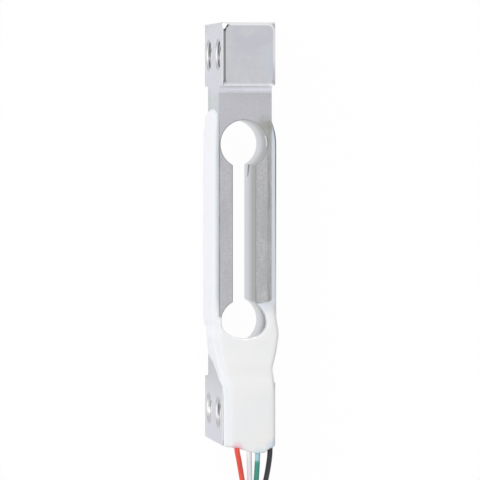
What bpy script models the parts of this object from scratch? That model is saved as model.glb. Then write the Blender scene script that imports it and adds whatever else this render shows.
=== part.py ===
"""A 100 g class parallel beam load cell, 47 x 12 x 6 mm, with four leads.

The beam lies on one narrow side. X runs across its 6 mm thickness, Y along its length with the
lead end at -Y, and Z up through its 12 mm width. Sizes are in metres.
"""

import math

import bmesh
import bpy
import numpy as np
from mathutils import Vector

# Beam
BEAM_LENGTH = 0.0470
BEAM_THICKNESS = 0.0060
BEAM_WIDTH = 0.0120
BLOCK_LENGTH = 0.0070
NECK_WIDTH = 0.0070
STEP_FILLET = 0.0006
EDGE_ROUND = 0.0003
NECK_ROUND_SHARE = 0.35

# Dumb-bell window through the neck
WEB_THICKNESS = 0.00036
WINDOW_MARGIN = 0.00386
SLOT_WIDTH = 0.0025
WINDOW_CHAMFER = 0.00008

# Tapped M3 holes, two through each block
HOLE_BORE = 0.0025
HOLE_MOUTH = 0.0033
HOLE_END_DISTANCE = 0.0035
HOLE_PITCH = 0.0060

# Bond line between the metal and what is glued to it
GLUE_LINE = 0.00001

# Strain gauges: a film with a foil grid, on each thin web
FILM_LENGTH = 0.0048
FILM_MARGIN = 0.0017
FILM_THICKNESS = 0.00004
GRID_LEGS = 8
GRID_LEG_WIDTH = 0.00014
GRID_LEG_GAP = 0.00013
GRID_LENGTH = 0.0032
GRID_THICKNESS = 0.000015
TAB_LENGTH = 0.0009
TAB_WIDTH = 0.0008

# Terminal strips with three pads, halfway along each side
STRIP_LENGTH = 0.0048
STRIP_WIDTH = 0.0016
STRIP_THICKNESS = 0.00012
PAD_PITCH = 0.0015
PAD_LENGTH = 0.0010
PAD_THICKNESS = 0.00003
SOLDER_RADIUS = 0.0004
SOLDER_HEIGHT = 0.00022
SOLDER_DOME = ((0.0, 1.0), (0.35, 0.93), (0.70, 0.72), (0.92, 0.40), (1.0, 0.12))

# Wires under the coat
WIRING_OFFSET = 0.0003
GAUGE_WIRE = 0.00008
LINK_WIRE = 0.00012
CORE_WIRE = 0.00020
WIRE_CLEARANCE = 0.00002
GAUGE_WIRE_BEND = 0.0003
CORE_BEND = 0.0002
STRIP_MARGIN = 0.0006
BACK_LANE_GAP = 0.0004
WIRE_PAIR_GAP = 0.00018
CORNER_CLEARANCE = 0.00005
# Which pad each core starts from, how far its lane lies inside the neck's front edge, and how far
# below the window it crosses the neck's front
CORES = {
    "white": ("left", "middle", 0.00108, 0.00042),
    "red": ("left", "lower", 0.00140, 0.00068),
    "green": ("right", "middle", 0.00108, 0.00042),
    "black": ("right", "lower", 0.00140, 0.00068),
}
# The same for the two links between the strips, by the pads that they join
LINKS = {
    "upper": (0.00076, 0.00020),
    "lower": (0.00172, 0.00090),
}

# Silicone coat
COAT_GAP = 0.00002
COAT_THICKNESS = {"left": 0.00065, "right": 0.00060}
COAT_CORNER = 0.00030
COAT_ROOT = 0.00020
PAD_END_ROUND = 0.0009
FRONT_CORNER = 0.0004
FRONT_BED = 0.0004
FRONT_CROWN = 0.00004
FRONT_SPACING = 0.0011
PAD_SPACING = 0.0035
# How much lower the front piece's upper edge starts at the left side, and along what length
TOP_SLANT = 0.0019
SLANT_LENGTH = 0.0044
LIP_OVERHANG = 0.00015
LIP_SHARE = 0.68
FLAP_TAPER = 0.0045
# Each flap's section, from its lower edge up: thickness and height as shares of its full ones
FLAP_PROFILE = ((0.06, 0.0), (0.55, 0.33), (0.85, 0.66), (1.0, 1.0))
WIRING_RECESS = 0.00045
LANE_RECESS = 0.00030
GAUGE_RECESS = 0.00014
FRONT_ROOM = 0.0005
ROOM_MARGIN = 0.0001

# Leads
LEAD_DIAMETER = 0.0006
LEAD_CHANNEL_GAP = 0.00003
LEAD_HEIGHT = 0.00038
LEAD_ROOT_GAP = 0.00111
LEAD_X = {"red": -0.00145, "white": -0.00012, "green": 0.00088, "black": 0.00228}
LEAD_POINT_SPACING = 0.0012
TIP_DIAMETER = 0.00026
TIP_LENGTH = 0.0040

# Hank of the four leads, held by a tie
HANK_RUN = 0.0100
HANK_INNER_RADIUS = 0.0018
HANK_TURNS = 4
HANK_TURN_PITCH = 0.00062
HANK_GAP = 0.0057
HANK_WAIST = 0.0011
TIE_WIDTH = 0.0013
TIE_THICKNESS = 0.0003
TIE_GAP = 0.00005
TWIST_LENGTH = 0.0042
TWIST_HALF_WIDTH = 0.0004
TWIST_DEGREES = 540

# How far each cutter reaches past what it cuts
OVERCUT = 0.0003

SIDES = {"left": -1, "right": 1}
HALF_LENGTH = BEAM_LENGTH / 2
HALF_THICKNESS = BEAM_THICKNESS / 2
NECK_LOW = (BEAM_WIDTH - NECK_WIDTH) / 2
NECK_HIGH = NECK_LOW + NECK_WIDTH
NECK_END = HALF_LENGTH - BLOCK_LENGTH
FILM_WIDTH = NECK_WIDTH - 2 * FILM_MARGIN
WINDOW_RADIUS = HALF_THICKNESS - WEB_THICKNESS
WINDOW_Y = NECK_END - WINDOW_MARGIN - WINDOW_RADIUS
WIRING_Z = BEAM_WIDTH / 2 - WIRING_OFFSET
STEP_Y = -NECK_END
WINDOW_LOW_Y = -WINDOW_Y - WINDOW_RADIUS
FRONT_TOP_Y = -WINDOW_Y + 0.0025
LEAD_START_Y = WINDOW_LOW_Y - LEAD_ROOT_GAP
EXIT_Z = BEAM_WIDTH + LEAD_HEIGHT
PAD_NAMES = {"upper": PAD_PITCH, "middle": 0.0, "lower": -PAD_PITCH}
SOLDER_BASE = GLUE_LINE + STRIP_THICKNESS + PAD_THICKNESS + GLUE_LINE / 2
LEAD_RADIUS = LEAD_DIAMETER / 2
HANK_OUTER_RADIUS = HANK_INNER_RADIUS + HANK_TURNS * HANK_TURN_PITCH + LEAD_RADIUS
HANK_NEAR_Y = -HALF_LENGTH - HANK_GAP - HANK_OUTER_RADIUS
OUTER_LANE = HANK_OUTER_RADIUS - LEAD_RADIUS
HANK_FAR_Y = HANK_NEAR_Y - HANK_RUN
HANK_MID_Y = (HANK_NEAR_Y + HANK_FAR_Y) / 2
HANK_HEIGHT = 4 * LEAD_DIAMETER
LANDING_Z = HANK_HEIGHT + LEAD_DIAMETER
HANK_LIFT = TIE_THICKNESS + TIE_GAP
TIE_ROOM = TIE_WIDTH + 2 * TIE_GAP

# Hand-chosen heights of the coat's front over the beam: along Y, then the height Z
FRONT_HEIGHTS = (
    (-HALF_LENGTH, BEAM_WIDTH + 0.00085),
    (-HALF_LENGTH + 0.0010, BEAM_WIDTH + 0.00092),
    (STEP_Y - 0.0025, BEAM_WIDTH + 0.00094),
    (STEP_Y - 0.0010, BEAM_WIDTH + 0.00090),
    (STEP_Y - 0.0001, BEAM_WIDTH + 0.00076),
    (STEP_Y + 0.0007, BEAM_WIDTH + 0.00036),
    (STEP_Y + 0.0014, BEAM_WIDTH - 0.00034),
    (STEP_Y + 0.0021, NECK_HIGH + 0.00146),
    (STEP_Y + 0.0029, NECK_HIGH + 0.00100),
    (STEP_Y + 0.0045, NECK_HIGH + 0.00078),
    (-WINDOW_Y - 0.0005, NECK_HIGH + 0.00058),
    (-WINDOW_Y + 0.0004, NECK_HIGH + 0.00044),
    (-WINDOW_Y + 0.0014, NECK_HIGH + 0.00030),
    (-WINDOW_Y + 0.0021, NECK_HIGH + 0.00018),
    (FRONT_TOP_Y, NECK_HIGH + 0.00004),
)
# How far down the sides the coat's front piece reaches, and how thick it is there
FLAP_BOTTOMS = (
    (-HALF_LENGTH, BEAM_WIDTH - 0.0001),
    (STEP_Y - 0.0017, BEAM_WIDTH - 0.0001),
    (STEP_Y - 0.0008, BEAM_WIDTH - 0.0007),
    (STEP_Y + 0.0003, NECK_HIGH - 0.0004),
    (STEP_Y + 0.0008, NECK_HIGH - 0.0014),
    (STEP_Y + 0.0020, NECK_LOW + 0.0026),
    (STEP_Y + 0.0025, NECK_LOW + 0.0004),
    (STEP_Y + 0.0035, NECK_LOW),
    (FRONT_TOP_Y, NECK_LOW),
)
FLAP_THICKNESSES = {
    "left": (
        (-HALF_LENGTH, -0.00012),
        (STEP_Y - 0.0015, -0.00008),
        (STEP_Y + 0.0002, 0.00004),
        (STEP_Y + 0.0012, 0.00010),
        (STEP_Y + 0.0024, 0.00030),
        (STEP_Y + 0.0035, 0.00048),
        (STEP_Y + 0.0042, 0.00057),
        (-WINDOW_Y - 0.0013, 0.00070),
        (-WINDOW_Y, 0.00062),
        (-WINDOW_Y + 0.0010, 0.00050),
        (FRONT_TOP_Y, 0.00030),
    ),
    "right": (
        (-HALF_LENGTH, -0.00018),
        (STEP_Y - 0.0015, -0.00016),
        (STEP_Y + 0.0002, -0.00024),
        (STEP_Y + 0.0012, -0.00024),
        (STEP_Y + 0.0024, 0.00020),
        (STEP_Y + 0.0029, 0.00036),
        (STEP_Y + 0.0042, 0.00062),
        (-WINDOW_Y - 0.0013, 0.00077),
        (-WINDOW_Y, 0.00064),
        (-WINDOW_Y + 0.0010, 0.00050),
        (FRONT_TOP_Y, 0.00030),
    ),
}
# How far the coat's tongue reaches past the beam's end, across X
TONGUE_REACH = (
    (-0.0032, 0.00010),
    (-0.0022, 0.00015),
    (-0.0014, 0.00020),
    (-0.0004, 0.00050),
    (0.0004, 0.00090),
    (0.0009, 0.00095),
    (0.0016, 0.00070),
    (0.0023, 0.00040),
    (0.0032, 0.00010),
)
# The tongue's sections from its tip back: how far out, and its height as a share of the coat's
TONGUE_STEPS = ((1.0, 0.62), (0.85, 0.90), (0.5, 1.0))
# Thickness of each side pad along Y, as a share of its full thickness
PAD_SHARES = {
    "left": (
        (-WINDOW_Y - 0.0011, 0.06),
        (-WINDOW_Y - 0.0008, 0.42),
        (-WINDOW_Y - 0.0004, 0.80),
        (-WINDOW_Y + 0.0003, 1.00),
        (NECK_END - 0.0105, 1.00),
        (NECK_END - 0.0055, 0.86),
        (NECK_END - 0.0044, 0.76),
        (NECK_END - 0.0034, 0.64),
        (NECK_END - 0.0028, 0.40),
        (NECK_END - 0.0025, 0.06),
    ),
    "right": (
        (-WINDOW_Y - 0.0011, 0.06),
        (-WINDOW_Y - 0.0008, 0.42),
        (-WINDOW_Y - 0.0004, 0.80),
        (-WINDOW_Y + 0.0003, 1.00),
        (NECK_END - 0.0105, 1.00),
        (NECK_END - 0.0054, 0.98),
        (NECK_END - 0.0048, 0.85),
        (NECK_END - 0.0042, 0.62),
        (NECK_END - 0.0038, 0.40),
        (NECK_END - 0.0036, 0.06),
    ),
}

# The way that all the leads take under the coat: along Y and Z
ROOT_ROUTE = (
    (LEAD_START_Y, NECK_HIGH + LEAD_HEIGHT),
    (STEP_Y + 0.00195, NECK_HIGH + 0.00070),
    (STEP_Y + 0.00125, BEAM_WIDTH - 0.00080),
    (STEP_Y + 0.00050, BEAM_WIDTH + 0.00010),
    (STEP_Y - 0.00040, BEAM_WIDTH + 0.00036),
    (STEP_Y - 0.00200, EXIT_Z),
    (STEP_Y - 0.00450, EXIT_Z),
)
# Each lead's free route down to the hank: X, how far past the beam's end, and its height as a
# share of the way from the hank's top to where it leaves the coat
FREE_ROUTES = {
    "red": (
        (-0.00140, 0.0001, 0.999),
        (-0.00115, 0.0017, 0.989),
        (-0.00070, 0.0042, 0.917),
        (-0.00030, 0.0062, 0.757),
        (0.00010, 0.0080, 0.533),
        (0.00055, 0.0096, 0.310),
        (0.00095, 0.0110, 0.160),
        (0.00118, 0.0122, 0.069),
    ),
    "white": (
        (-0.00012, 0.0001, 0.999),
        (-0.00005, 0.0017, 0.981),
        (0.00015, 0.0041, 0.885),
        (0.00040, 0.0060, 0.714),
        (0.00070, 0.0077, 0.480),
        (0.00100, 0.0091, 0.277),
        (0.00125, 0.0104, 0.139),
        (0.00138, 0.0115, 0.037),
    ),
    "green": (
        (0.00088, 0.0003, 0.998),
        (0.00086, 0.0018, 0.980),
        (0.00094, 0.0040, 0.864),
        (0.00110, 0.0058, 0.672),
        (0.00130, 0.0073, 0.437),
        (0.00150, 0.0085, 0.245),
        (0.00158, 0.0096, 0.107),
        (0.00155, 0.0107, 0.016),
    ),
    "black": (
        (0.00227, 0.0001, 0.999),
        (0.00222, 0.0016, 0.978),
        (0.00208, 0.0039, 0.842),
        (0.00200, 0.0056, 0.618),
        (0.00198, 0.0068, 0.416),
        (0.00194, 0.0078, 0.235),
        (0.00186, 0.0088, 0.091),
        (0.00174, 0.0098, -0.002),
    ),
}
# Each lead's tail, from where it leaves the hank to the end of its jacket: across from the hank's
# outer lane, how far past its far arc's middle, and Z
TAIL_ROUTES = {
    "black": (
        (0.0, 0.00272, 0.00030),
        (0.00017, 0.00372, 0.00030),
        (0.00036, 0.00482, 0.00030),
    ),
    "green": (
        (0.0, 0.00272, 0.00093),
        (-0.00018, 0.00372, 0.00087),
        (-0.00050, 0.00482, 0.00052),
        (-0.00068, 0.00562, 0.00031),
    ),
    "white": (
        (-0.00002, 0.00272, 0.00156),
        (-0.00048, 0.00372, 0.00145),
        (-0.00113, 0.00482, 0.00095),
        (-0.00153, 0.00572, 0.00042),
        (-0.00170, 0.00622, 0.00031),
    ),
    "red": (
        (-0.00008, 0.00272, 0.00219),
        (-0.00078, 0.00372, 0.00208),
        (-0.00163, 0.00482, 0.00150),
        (-0.00228, 0.00582, 0.00072),
        (-0.00263, 0.00652, 0.00034),
    ),
}
# Name, colour, roughness and metallic value of each finish
FINISHES = {
    "aluminium": ((0.62, 0.63, 0.66), 0.34, 1.0),
    "silicone": ((0.86, 0.87, 0.88), 0.38, 0.0),
    "polyimide": ((0.62, 0.34, 0.08), 0.40, 0.0),
    "constantan": ((0.55, 0.40, 0.28), 0.35, 1.0),
    "laminate": ((0.16, 0.30, 0.14), 0.50, 0.0),
    "solder": ((0.70, 0.70, 0.72), 0.25, 1.0),
    "enamel": ((0.45, 0.14, 0.05), 0.30, 0.3),
    "red": ((0.80, 0.06, 0.04), 0.40, 0.0),
    "white": ((0.85, 0.85, 0.84), 0.40, 0.0),
    "green": ((0.04, 0.32, 0.22), 0.40, 0.0),
    "black": ((0.025, 0.025, 0.03), 0.40, 0.0),
    "leads": ((0.40, 0.36, 0.36), 0.45, 0.0),
    "tie": ((0.06, 0.06, 0.065), 0.50, 0.0),
}


def clear_scene():
    for thing in list(bpy.data.objects):
        bpy.data.objects.remove(thing, do_unlink=True)


def make_finish(name):
    colour, roughness, metallic = FINISHES[name]
    finish = bpy.data.materials.new(name)
    finish.use_nodes = True
    shader = finish.node_tree.nodes["Principled BSDF"]
    shader.inputs["Base Color"].default_value = (*colour, 1.0)
    shader.inputs["Roughness"].default_value = roughness
    shader.inputs["Metallic"].default_value = metallic
    return finish


def finish_of(name):
    return bpy.data.materials.get(name) or make_finish(name)


def add_piece(name, data, finish):
    """A named object on the assembly's empty, with its finish."""
    piece = bpy.data.objects.new(name, data)
    bpy.context.scene.collection.objects.link(piece)
    piece.parent = bpy.data.objects.get("load_cell")
    data.materials.append(finish_of(finish))
    return piece


def mesh_from(bm, name, smooth_degrees=35):
    """The bmesh's mesh, facing out and shaded smooth up to the given angle."""
    bmesh.ops.recalc_face_normals(bm, faces=bm.faces)
    mesh = bpy.data.meshes.new(name)
    bm.to_mesh(mesh)
    bm.free()
    mesh.shade_smooth()
    mesh.set_sharp_from_angle(angle=math.radians(smooth_degrees))
    return mesh


def cutter_from(bm, name):
    """A helper solid for a Boolean, left out of the model."""
    cutter = bpy.data.objects.new(name, mesh_from(bm, name))
    bpy.context.scene.collection.objects.link(cutter)
    cutter.hide_render = True
    cutter.display_type = "WIRE"
    return cutter


def combine(piece, other, operation, solver="EXACT"):
    step = piece.modifiers.new(other.name, "BOOLEAN")
    step.object = other
    step.operation = operation
    step.solver = solver


def loft(rings):
    """A closed solid through rings of equally many points, with a flat cap at each end."""
    bm = bmesh.new()
    rows = [[bm.verts.new(point) for point in ring] for ring in rings]
    count = len(rows[0])
    for row, following in zip(rows, rows[1:]):
        for i in range(count):
            j = (i + 1) % count
            bm.faces.new((row[i], row[j], following[j], following[i]))
    bm.faces.new(rows[0])
    bm.faces.new(rows[-1])
    return bm


def box(low, high):
    bm = bmesh.new()
    bmesh.ops.create_cube(bm, size=1.0)
    low, high = Vector(low), Vector(high)
    bmesh.ops.scale(bm, vec=high - low, verts=bm.verts)
    bmesh.ops.translate(bm, vec=(low + high) / 2, verts=bm.verts)
    return bm


def arc(centre, radius, start, end, steps):
    """Points of an arc in a plane, with its angles in degrees."""
    angles = np.radians(np.linspace(start, end, steps + 1))
    return [
        (centre[0] + radius * math.cos(a), centre[1] + radius * math.sin(a))
        for a in angles
    ]


def value_at(table, y):
    """The value of a table of (y, value) pairs at y, on a smooth curve that never overshoots."""
    places, values = np.array(table).T
    steps = np.diff(values) / np.diff(places)
    before, after = np.append(steps[:1], steps), np.append(steps, steps[-1:])
    level = before * after <= 0
    slopes = np.where(level, 0.0, 2 * before * after / np.where(level, 1.0, before + after))
    i = min(max(int(np.searchsorted(places, y)), 1), len(places) - 1)
    span = places[i] - places[i - 1]
    share = min(max((y - places[i - 1]) / span, 0.0), 1.0)
    square, cube = share**2, share**3
    return float(
        (2 * cube - 3 * square + 1) * values[i - 1]
        + (cube - 2 * square + share) * span * slopes[i - 1]
        + (3 * square - 2 * cube) * values[i]
        + (cube - square) * span * slopes[i]
    )


def stations(table, spacing):
    """A table's places along Y, with more between them where they lie further apart."""
    places = [table[0][0]]
    for (start, _), (end, _) in zip(table, table[1:]):
        count = math.ceil((end - start) / spacing)
        places.extend(np.linspace(start, end, count + 1)[1:])
    return places


def smooth_route(points, spacing):
    """Points at an even spacing on a smooth curve through the given ones."""
    given = [Vector(p) for p in points]
    given = [2 * given[0] - given[1], *given, 2 * given[-1] - given[-2]]
    dense = []
    for a, b, c, d in zip(given, given[1:], given[2:], given[3:]):
        for t in np.linspace(0, 1, 12, endpoint=False):
            dense.append(
                0.5
                * (
                    2 * b
                    + (c - a) * t
                    + (2 * a - 5 * b + 4 * c - d) * t**2
                    + (3 * b - a - 3 * c + d) * t**3
                )
            )
    dense.append(given[-2])
    line = np.array(dense)
    along = np.concatenate([[0], np.cumsum(np.linalg.norm(np.diff(line, axis=0), axis=1))])
    count = max(3, round(along[-1] / spacing) + 1)
    places = np.linspace(0, along[-1], count)
    return [Vector(p) for p in zip(*(np.interp(places, along, line[:, k]) for k in range(3)))]


def lead_points(name):
    """The lead's route from the start of its jacket to just above the hank."""
    root = [(LEAD_X[name], y, z) for y, z in ROOT_ROUTE]
    free = [
        (x, -HALF_LENGTH - past, LANDING_Z + (EXIT_Z - LANDING_Z) * share)
        for x, past, share in FREE_ROUTES[name]
    ]
    return smooth_route(root + free, LEAD_POINT_SPACING)


def bent_wire(points, radius):
    """The route of a wire bent at each given point, its corners rounded."""
    points = [Vector(p) for p in points]
    route = [points[0]]
    for before, corner, after in zip(points, points[1:], points[2:]):
        room = min(radius, (before - corner).length * 0.45, (after - corner).length * 0.45)
        enter = corner + (before - corner).normalized() * room
        leave = corner + (after - corner).normalized() * room
        route += [enter, enter * 0.25 + corner * 0.5 + leave * 0.25, leave]
    return route + [points[-1]]


def tube_data(name, points, diameter, resolution):
    curve = bpy.data.curves.new(name, "CURVE")
    curve.dimensions = "3D"
    curve.bevel_depth = diameter / 2
    curve.bevel_resolution = resolution
    curve.use_fill_caps = True
    spline = curve.splines.new("POLY")
    spline.points.add(len(points) - 1)
    for place, point in zip(spline.points, points):
        place.co = (*point, 1.0)
    return curve


def add_tube(name, points, diameter, finish, resolution=2):
    return add_piece(name, tube_data(name, points, diameter, resolution), finish)


def tube_cutter(name, points, diameter):
    """A cutter of the tube's shape, as a mesh that a Boolean can take."""
    curve = bpy.data.objects.new(name, tube_data(name, points, diameter, 2))
    bpy.context.scene.collection.objects.link(curve)
    bpy.context.view_layer.update()
    graph = bpy.context.evaluated_depsgraph_get()
    mesh = bpy.data.meshes.new_from_object(curve.evaluated_get(graph))
    bpy.data.objects.remove(curve, do_unlink=True)
    bm = bmesh.new()
    bm.from_mesh(mesh)
    bpy.data.meshes.remove(mesh)
    bmesh.ops.remove_doubles(bm, verts=bm.verts, dist=1e-7)
    return cutter_from(bm, name)


def beam_outline(grow):
    """The beam's side view in Y and Z: two blocks, and a neck with filleted steps."""
    end, inner = HALF_LENGTH + grow, NECK_END - grow
    low, high, fillet = NECK_LOW - grow, NECK_HIGH + grow, STEP_FILLET - grow
    return [
        (-end, -grow),
        (-inner, -grow),
        *arc((-inner + fillet, low - fillet), fillet, 180, 90, 6),
        *arc((inner - fillet, low - fillet), fillet, 90, 0, 6),
        (inner, -grow),
        (end, -grow),
        (end, BEAM_WIDTH + grow),
        (inner, BEAM_WIDTH + grow),
        *arc((inner - fillet, high + fillet), fillet, 0, -90, 6),
        *arc((-inner + fillet, high + fillet), fillet, -90, -180, 6),
        (-inner, BEAM_WIDTH + grow),
        (-end, BEAM_WIDTH + grow),
    ]


def beam_blank(grow):
    half = HALF_THICKNESS + grow
    outline = beam_outline(grow)
    return loft([[(x, y, z) for y, z in outline] for x in (-half, half)])


def window_outline(offset):
    """Two circles joined by a slot, in X and Y."""
    radius, slot = WINDOW_RADIUS + offset, SLOT_WIDTH / 2 + offset
    start = math.degrees(math.asin(slot / radius))
    upper = arc((0, WINDOW_Y), radius, start - 90, 270 - start, 40)
    return upper + [(-x, -y) for x, y in upper]


def window_cutter():
    """The window, widened at both faces of the neck by its chamfer."""
    wider = WINDOW_CHAMFER + OVERCUT
    rings = (
        (NECK_LOW - OVERCUT, wider),
        (NECK_LOW + WINDOW_CHAMFER, 0.0),
        (NECK_HIGH - WINDOW_CHAMFER, 0.0),
        (NECK_HIGH + OVERCUT, wider),
    )
    bm = loft([[(x, y, z) for x, y in window_outline(offset)] for z, offset in rings])
    return cutter_from(bm, "window")


def hole_cutter(name, y, z):
    """A tapped hole along X: its bore, with a countersunk mouth at both ends."""
    sink = (HOLE_MOUTH - HOLE_BORE) / 2
    rings = (
        (-HALF_THICKNESS - OVERCUT, HOLE_MOUTH / 2 + OVERCUT),
        (-HALF_THICKNESS + sink, HOLE_BORE / 2),
        (HALF_THICKNESS - sink, HOLE_BORE / 2),
        (HALF_THICKNESS + OVERCUT, HOLE_MOUTH / 2 + OVERCUT),
    )
    bm = loft([[(x, *p) for p in arc((y, z), radius, 0, 345, 23)] for x, radius in rings])
    return cutter_from(bm, name)


def edge_weight(edge):
    """How far an edge of the beam is rounded: fully on the blocks, less along the neck."""
    if edge.calc_face_angle(0.0) < math.radians(40):
        return 0.0
    middle = (edge.verts[0].co + edge.verts[1].co) / 2
    if abs(middle.x) < HALF_THICKNESS / 2:
        return 1.0
    to_block = (abs(middle.y) - (NECK_END - STEP_FILLET)) / STEP_FILLET
    share = min(max(to_block, 0.0), 1.0)
    return NECK_ROUND_SHARE + (1 - NECK_ROUND_SHARE) * share


def make_beam():
    bm = beam_blank(0.0)
    bmesh.ops.recalc_face_normals(bm, faces=bm.faces)
    weights = bm.edges.layers.float.new("bevel_weight_edge")
    for edge in bm.edges:
        edge[weights] = edge_weight(edge)
    beam = add_piece("beam", mesh_from(bm, "beam"), "aluminium")
    rounding = beam.modifiers.new("edge_round", "BEVEL")
    rounding.limit_method = "WEIGHT"
    rounding.width = EDGE_ROUND
    rounding.segments = 3
    combine(beam, window_cutter(), "DIFFERENCE")
    for end in (-1, 1):
        for side in (-1, 1):
            y = end * (HALF_LENGTH - HOLE_END_DISTANCE)
            z = BEAM_WIDTH / 2 + side * HOLE_PITCH / 2
            cutter = hole_cutter(f"hole_{end}_{side}", y, z)
            combine(beam, cutter, "DIFFERENCE")
    return beam


def on_side(side, height, y, z):
    """A point at a height above one side face of the beam."""
    return Vector((SIDES[side] * (HALF_THICKNESS + height), y, z))


def plate(name, side, outline, low, high, finish):
    """A flat piece on a side face: an outline in Y and Z between two heights above it."""
    rings = [[on_side(side, height, *point) for point in outline] for height in (low, high)]
    return add_piece(name, mesh_from(loft(rings), name), finish)


def grid_outline():
    """One foil track that runs to and fro, with a wide tab at each end; its tabs point to -Y."""
    pitch, half = GRID_LEG_WIDTH + GRID_LEG_GAP, GRID_LEG_WIDTH / 2
    first = -pitch * (GRID_LEGS - 1) / 2
    near, far = -GRID_LENGTH / 2, GRID_LENGTH / 2
    root = near - GRID_LEG_GAP
    track = []
    for leg in range(GRID_LEGS):
        ends = (near, far) if leg % 2 == 0 else (far, near)
        track += [Vector((y, first + leg * pitch)) for y in ends]
    track[0].x = track[-1].x = root
    outer, inner = [], []
    for i, point in enumerate(track):
        before, after = track[max(i - 1, 0)], track[min(i + 1, len(track) - 1)]
        turns = [step.normalized() for step in (point - before, after - point) if step.length]
        shift = sum((Vector((-turn.y, turn.x)) for turn in turns), Vector((0, 0))) * half
        inner.append(point + shift)
        outer.append(point - shift)
    tab_end, tab_inner = root - TAB_LENGTH, -first + half - TAB_WIDTH
    last_tab = [(tab_end, -first + half), (tab_end, tab_inner), (root, tab_inner)]
    first_tab = [(root, -tab_inner), (tab_end, -tab_inner), (tab_end, first - half)]
    return [*outer, *last_tab, *reversed(inner), *first_tab]


def make_gauge(side, end, number):
    """A film with its foil grid over one web; the grid's tabs face the terminal strip."""
    y = end * WINDOW_Y
    base = GLUE_LINE
    top = base + FILM_THICKNESS
    half_length, half_width = FILM_LENGTH / 2, FILM_WIDTH / 2
    film = [
        (y - half_length, WIRING_Z - half_width),
        (y + half_length, WIRING_Z - half_width),
        (y + half_length, WIRING_Z + half_width),
        (y - half_length, WIRING_Z + half_width),
    ]
    plate(f"gauge_film_{number}", side, film, base, top, "polyimide")
    foil = [(y + end * u + end * TAB_LENGTH / 2, WIRING_Z + v) for u, v in grid_outline()]
    low = top + GLUE_LINE / 2
    plate(f"gauge_grid_{number}", side, foil, low, low + GRID_THICKNESS, "constantan")
    return low + GRID_THICKNESS


def tab_point(end, which):
    """Where a wire meets a grid's tab, in Y and Z."""
    pitch = GRID_LEG_WIDTH + GRID_LEG_GAP
    edge = pitch * (GRID_LEGS - 1) / 2 + GRID_LEG_WIDTH / 2
    y = WINDOW_Y - GRID_LENGTH / 2 - GRID_LEG_GAP
    return end * y, WIRING_Z + which * (edge - TAB_WIDTH / 2)


def make_strip(side):
    """A terminal strip whose three pads stand a little above it."""
    half, pad, base = STRIP_LENGTH / 2, PAD_LENGTH / 2, GLUE_LINE
    top = base + STRIP_THICKNESS
    profile = [(-half, base), (half, base), (half, top)]
    for y in (PAD_PITCH, 0.0, -PAD_PITCH):
        profile += [
            (y + pad, top),
            (y + pad, top + PAD_THICKNESS),
            (y - pad, top + PAD_THICKNESS),
            (y - pad, top),
        ]
    profile.append((-half, top))
    rings = [
        [on_side(side, height, y, WIRING_Z + edge) for y, height in profile]
        for edge in (-STRIP_WIDTH / 2, STRIP_WIDTH / 2)
    ]
    name = f"terminal_strip_{side}"
    return add_piece(name, mesh_from(loft(rings), name), "laminate")


def make_solder(side, pad):
    """A low dome of solder on one pad."""
    rings = [
        [
            on_side(side, SOLDER_BASE + SOLDER_HEIGHT * up, *point)
            for point in arc((PAD_NAMES[pad], WIRING_Z), SOLDER_RADIUS * wide, 0, 330, 11)
        ]
        for up, wide in SOLDER_DOME
    ]
    name = f"solder_{side}_{pad}"
    return add_piece(name, mesh_from(loft(rings), name), "solder")


def make_gauge_wires(side, numbers, tab_height):
    """Four fine wires from the two grids' tabs to the pads of one side's strip."""
    rim = SOLDER_RADIUS + GAUGE_WIRE / 2 + WIRE_CLEARANCE
    on_tab = tab_height + GAUGE_WIRE / 2 + GLUE_LINE
    on_strip = SOLDER_BASE + GAUGE_WIRE / 2 + WIRE_CLEARANCE
    back_lane = WIRING_Z - STRIP_WIDTH / 2 - BACK_LANE_GAP
    for end, number in zip((1, -1), numbers):
        outer_pad = end * PAD_PITCH
        y, z = tab_point(end, 1)
        clear = end * (STRIP_LENGTH / 2 + STRIP_MARGIN)
        route = (
            on_side(side, on_tab, y, z),
            on_side(side, on_tab, y - end * TAB_LENGTH, z),
            on_side(side, on_strip, clear, WIRING_Z + ROOM_MARGIN),
            on_side(side, on_strip, outer_pad + end * rim, WIRING_Z),
        )
        wire = bent_wire(route, GAUGE_WIRE_BEND)
        add_tube(f"gauge_wire_{number}_a", wire, GAUGE_WIRE, "enamel", 1)
        y, z = tab_point(end, -1)
        beside = end * WIRE_PAIR_GAP
        route = (
            on_side(side, on_tab, y, z),
            on_side(side, on_tab, y - end * TAB_LENGTH, z),
            on_side(side, on_tab, clear, back_lane),
            on_side(side, on_strip, beside, back_lane),
            on_side(side, on_strip, beside, WIRING_Z - rim),
        )
        wire = bent_wire(route, GAUGE_WIRE_BEND)
        add_tube(f"gauge_wire_{number}_b", wire, GAUGE_WIRE, "enamel", 1)


def side_lane(side, pad, inside, below, diameter, height):
    """A wire's route from a pad, along the neck's front edge and round it onto its front."""
    up = SOLDER_RADIUS + diameter / 2 + WIRE_CLEARANCE
    on_pad = SOLDER_BASE + diameter / 2 + WIRE_CLEARANCE
    y, lane, turn = PAD_NAMES[pad], NECK_HIGH - inside, WINDOW_LOW_Y - below
    corner = height + CORNER_CLEARANCE
    return [
        on_side(side, on_pad, y, WIRING_Z + up),
        on_side(side, on_pad, y, WIRING_Z + STRIP_WIDTH / 2 + ROOM_MARGIN),
        on_side(side, height, y, lane),
        on_side(side, height, turn, lane),
        on_side(side, corner, turn, NECK_HIGH + corner),
    ]


def front_point(x, y, height):
    return Vector((x, y, NECK_HIGH + height))


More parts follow.
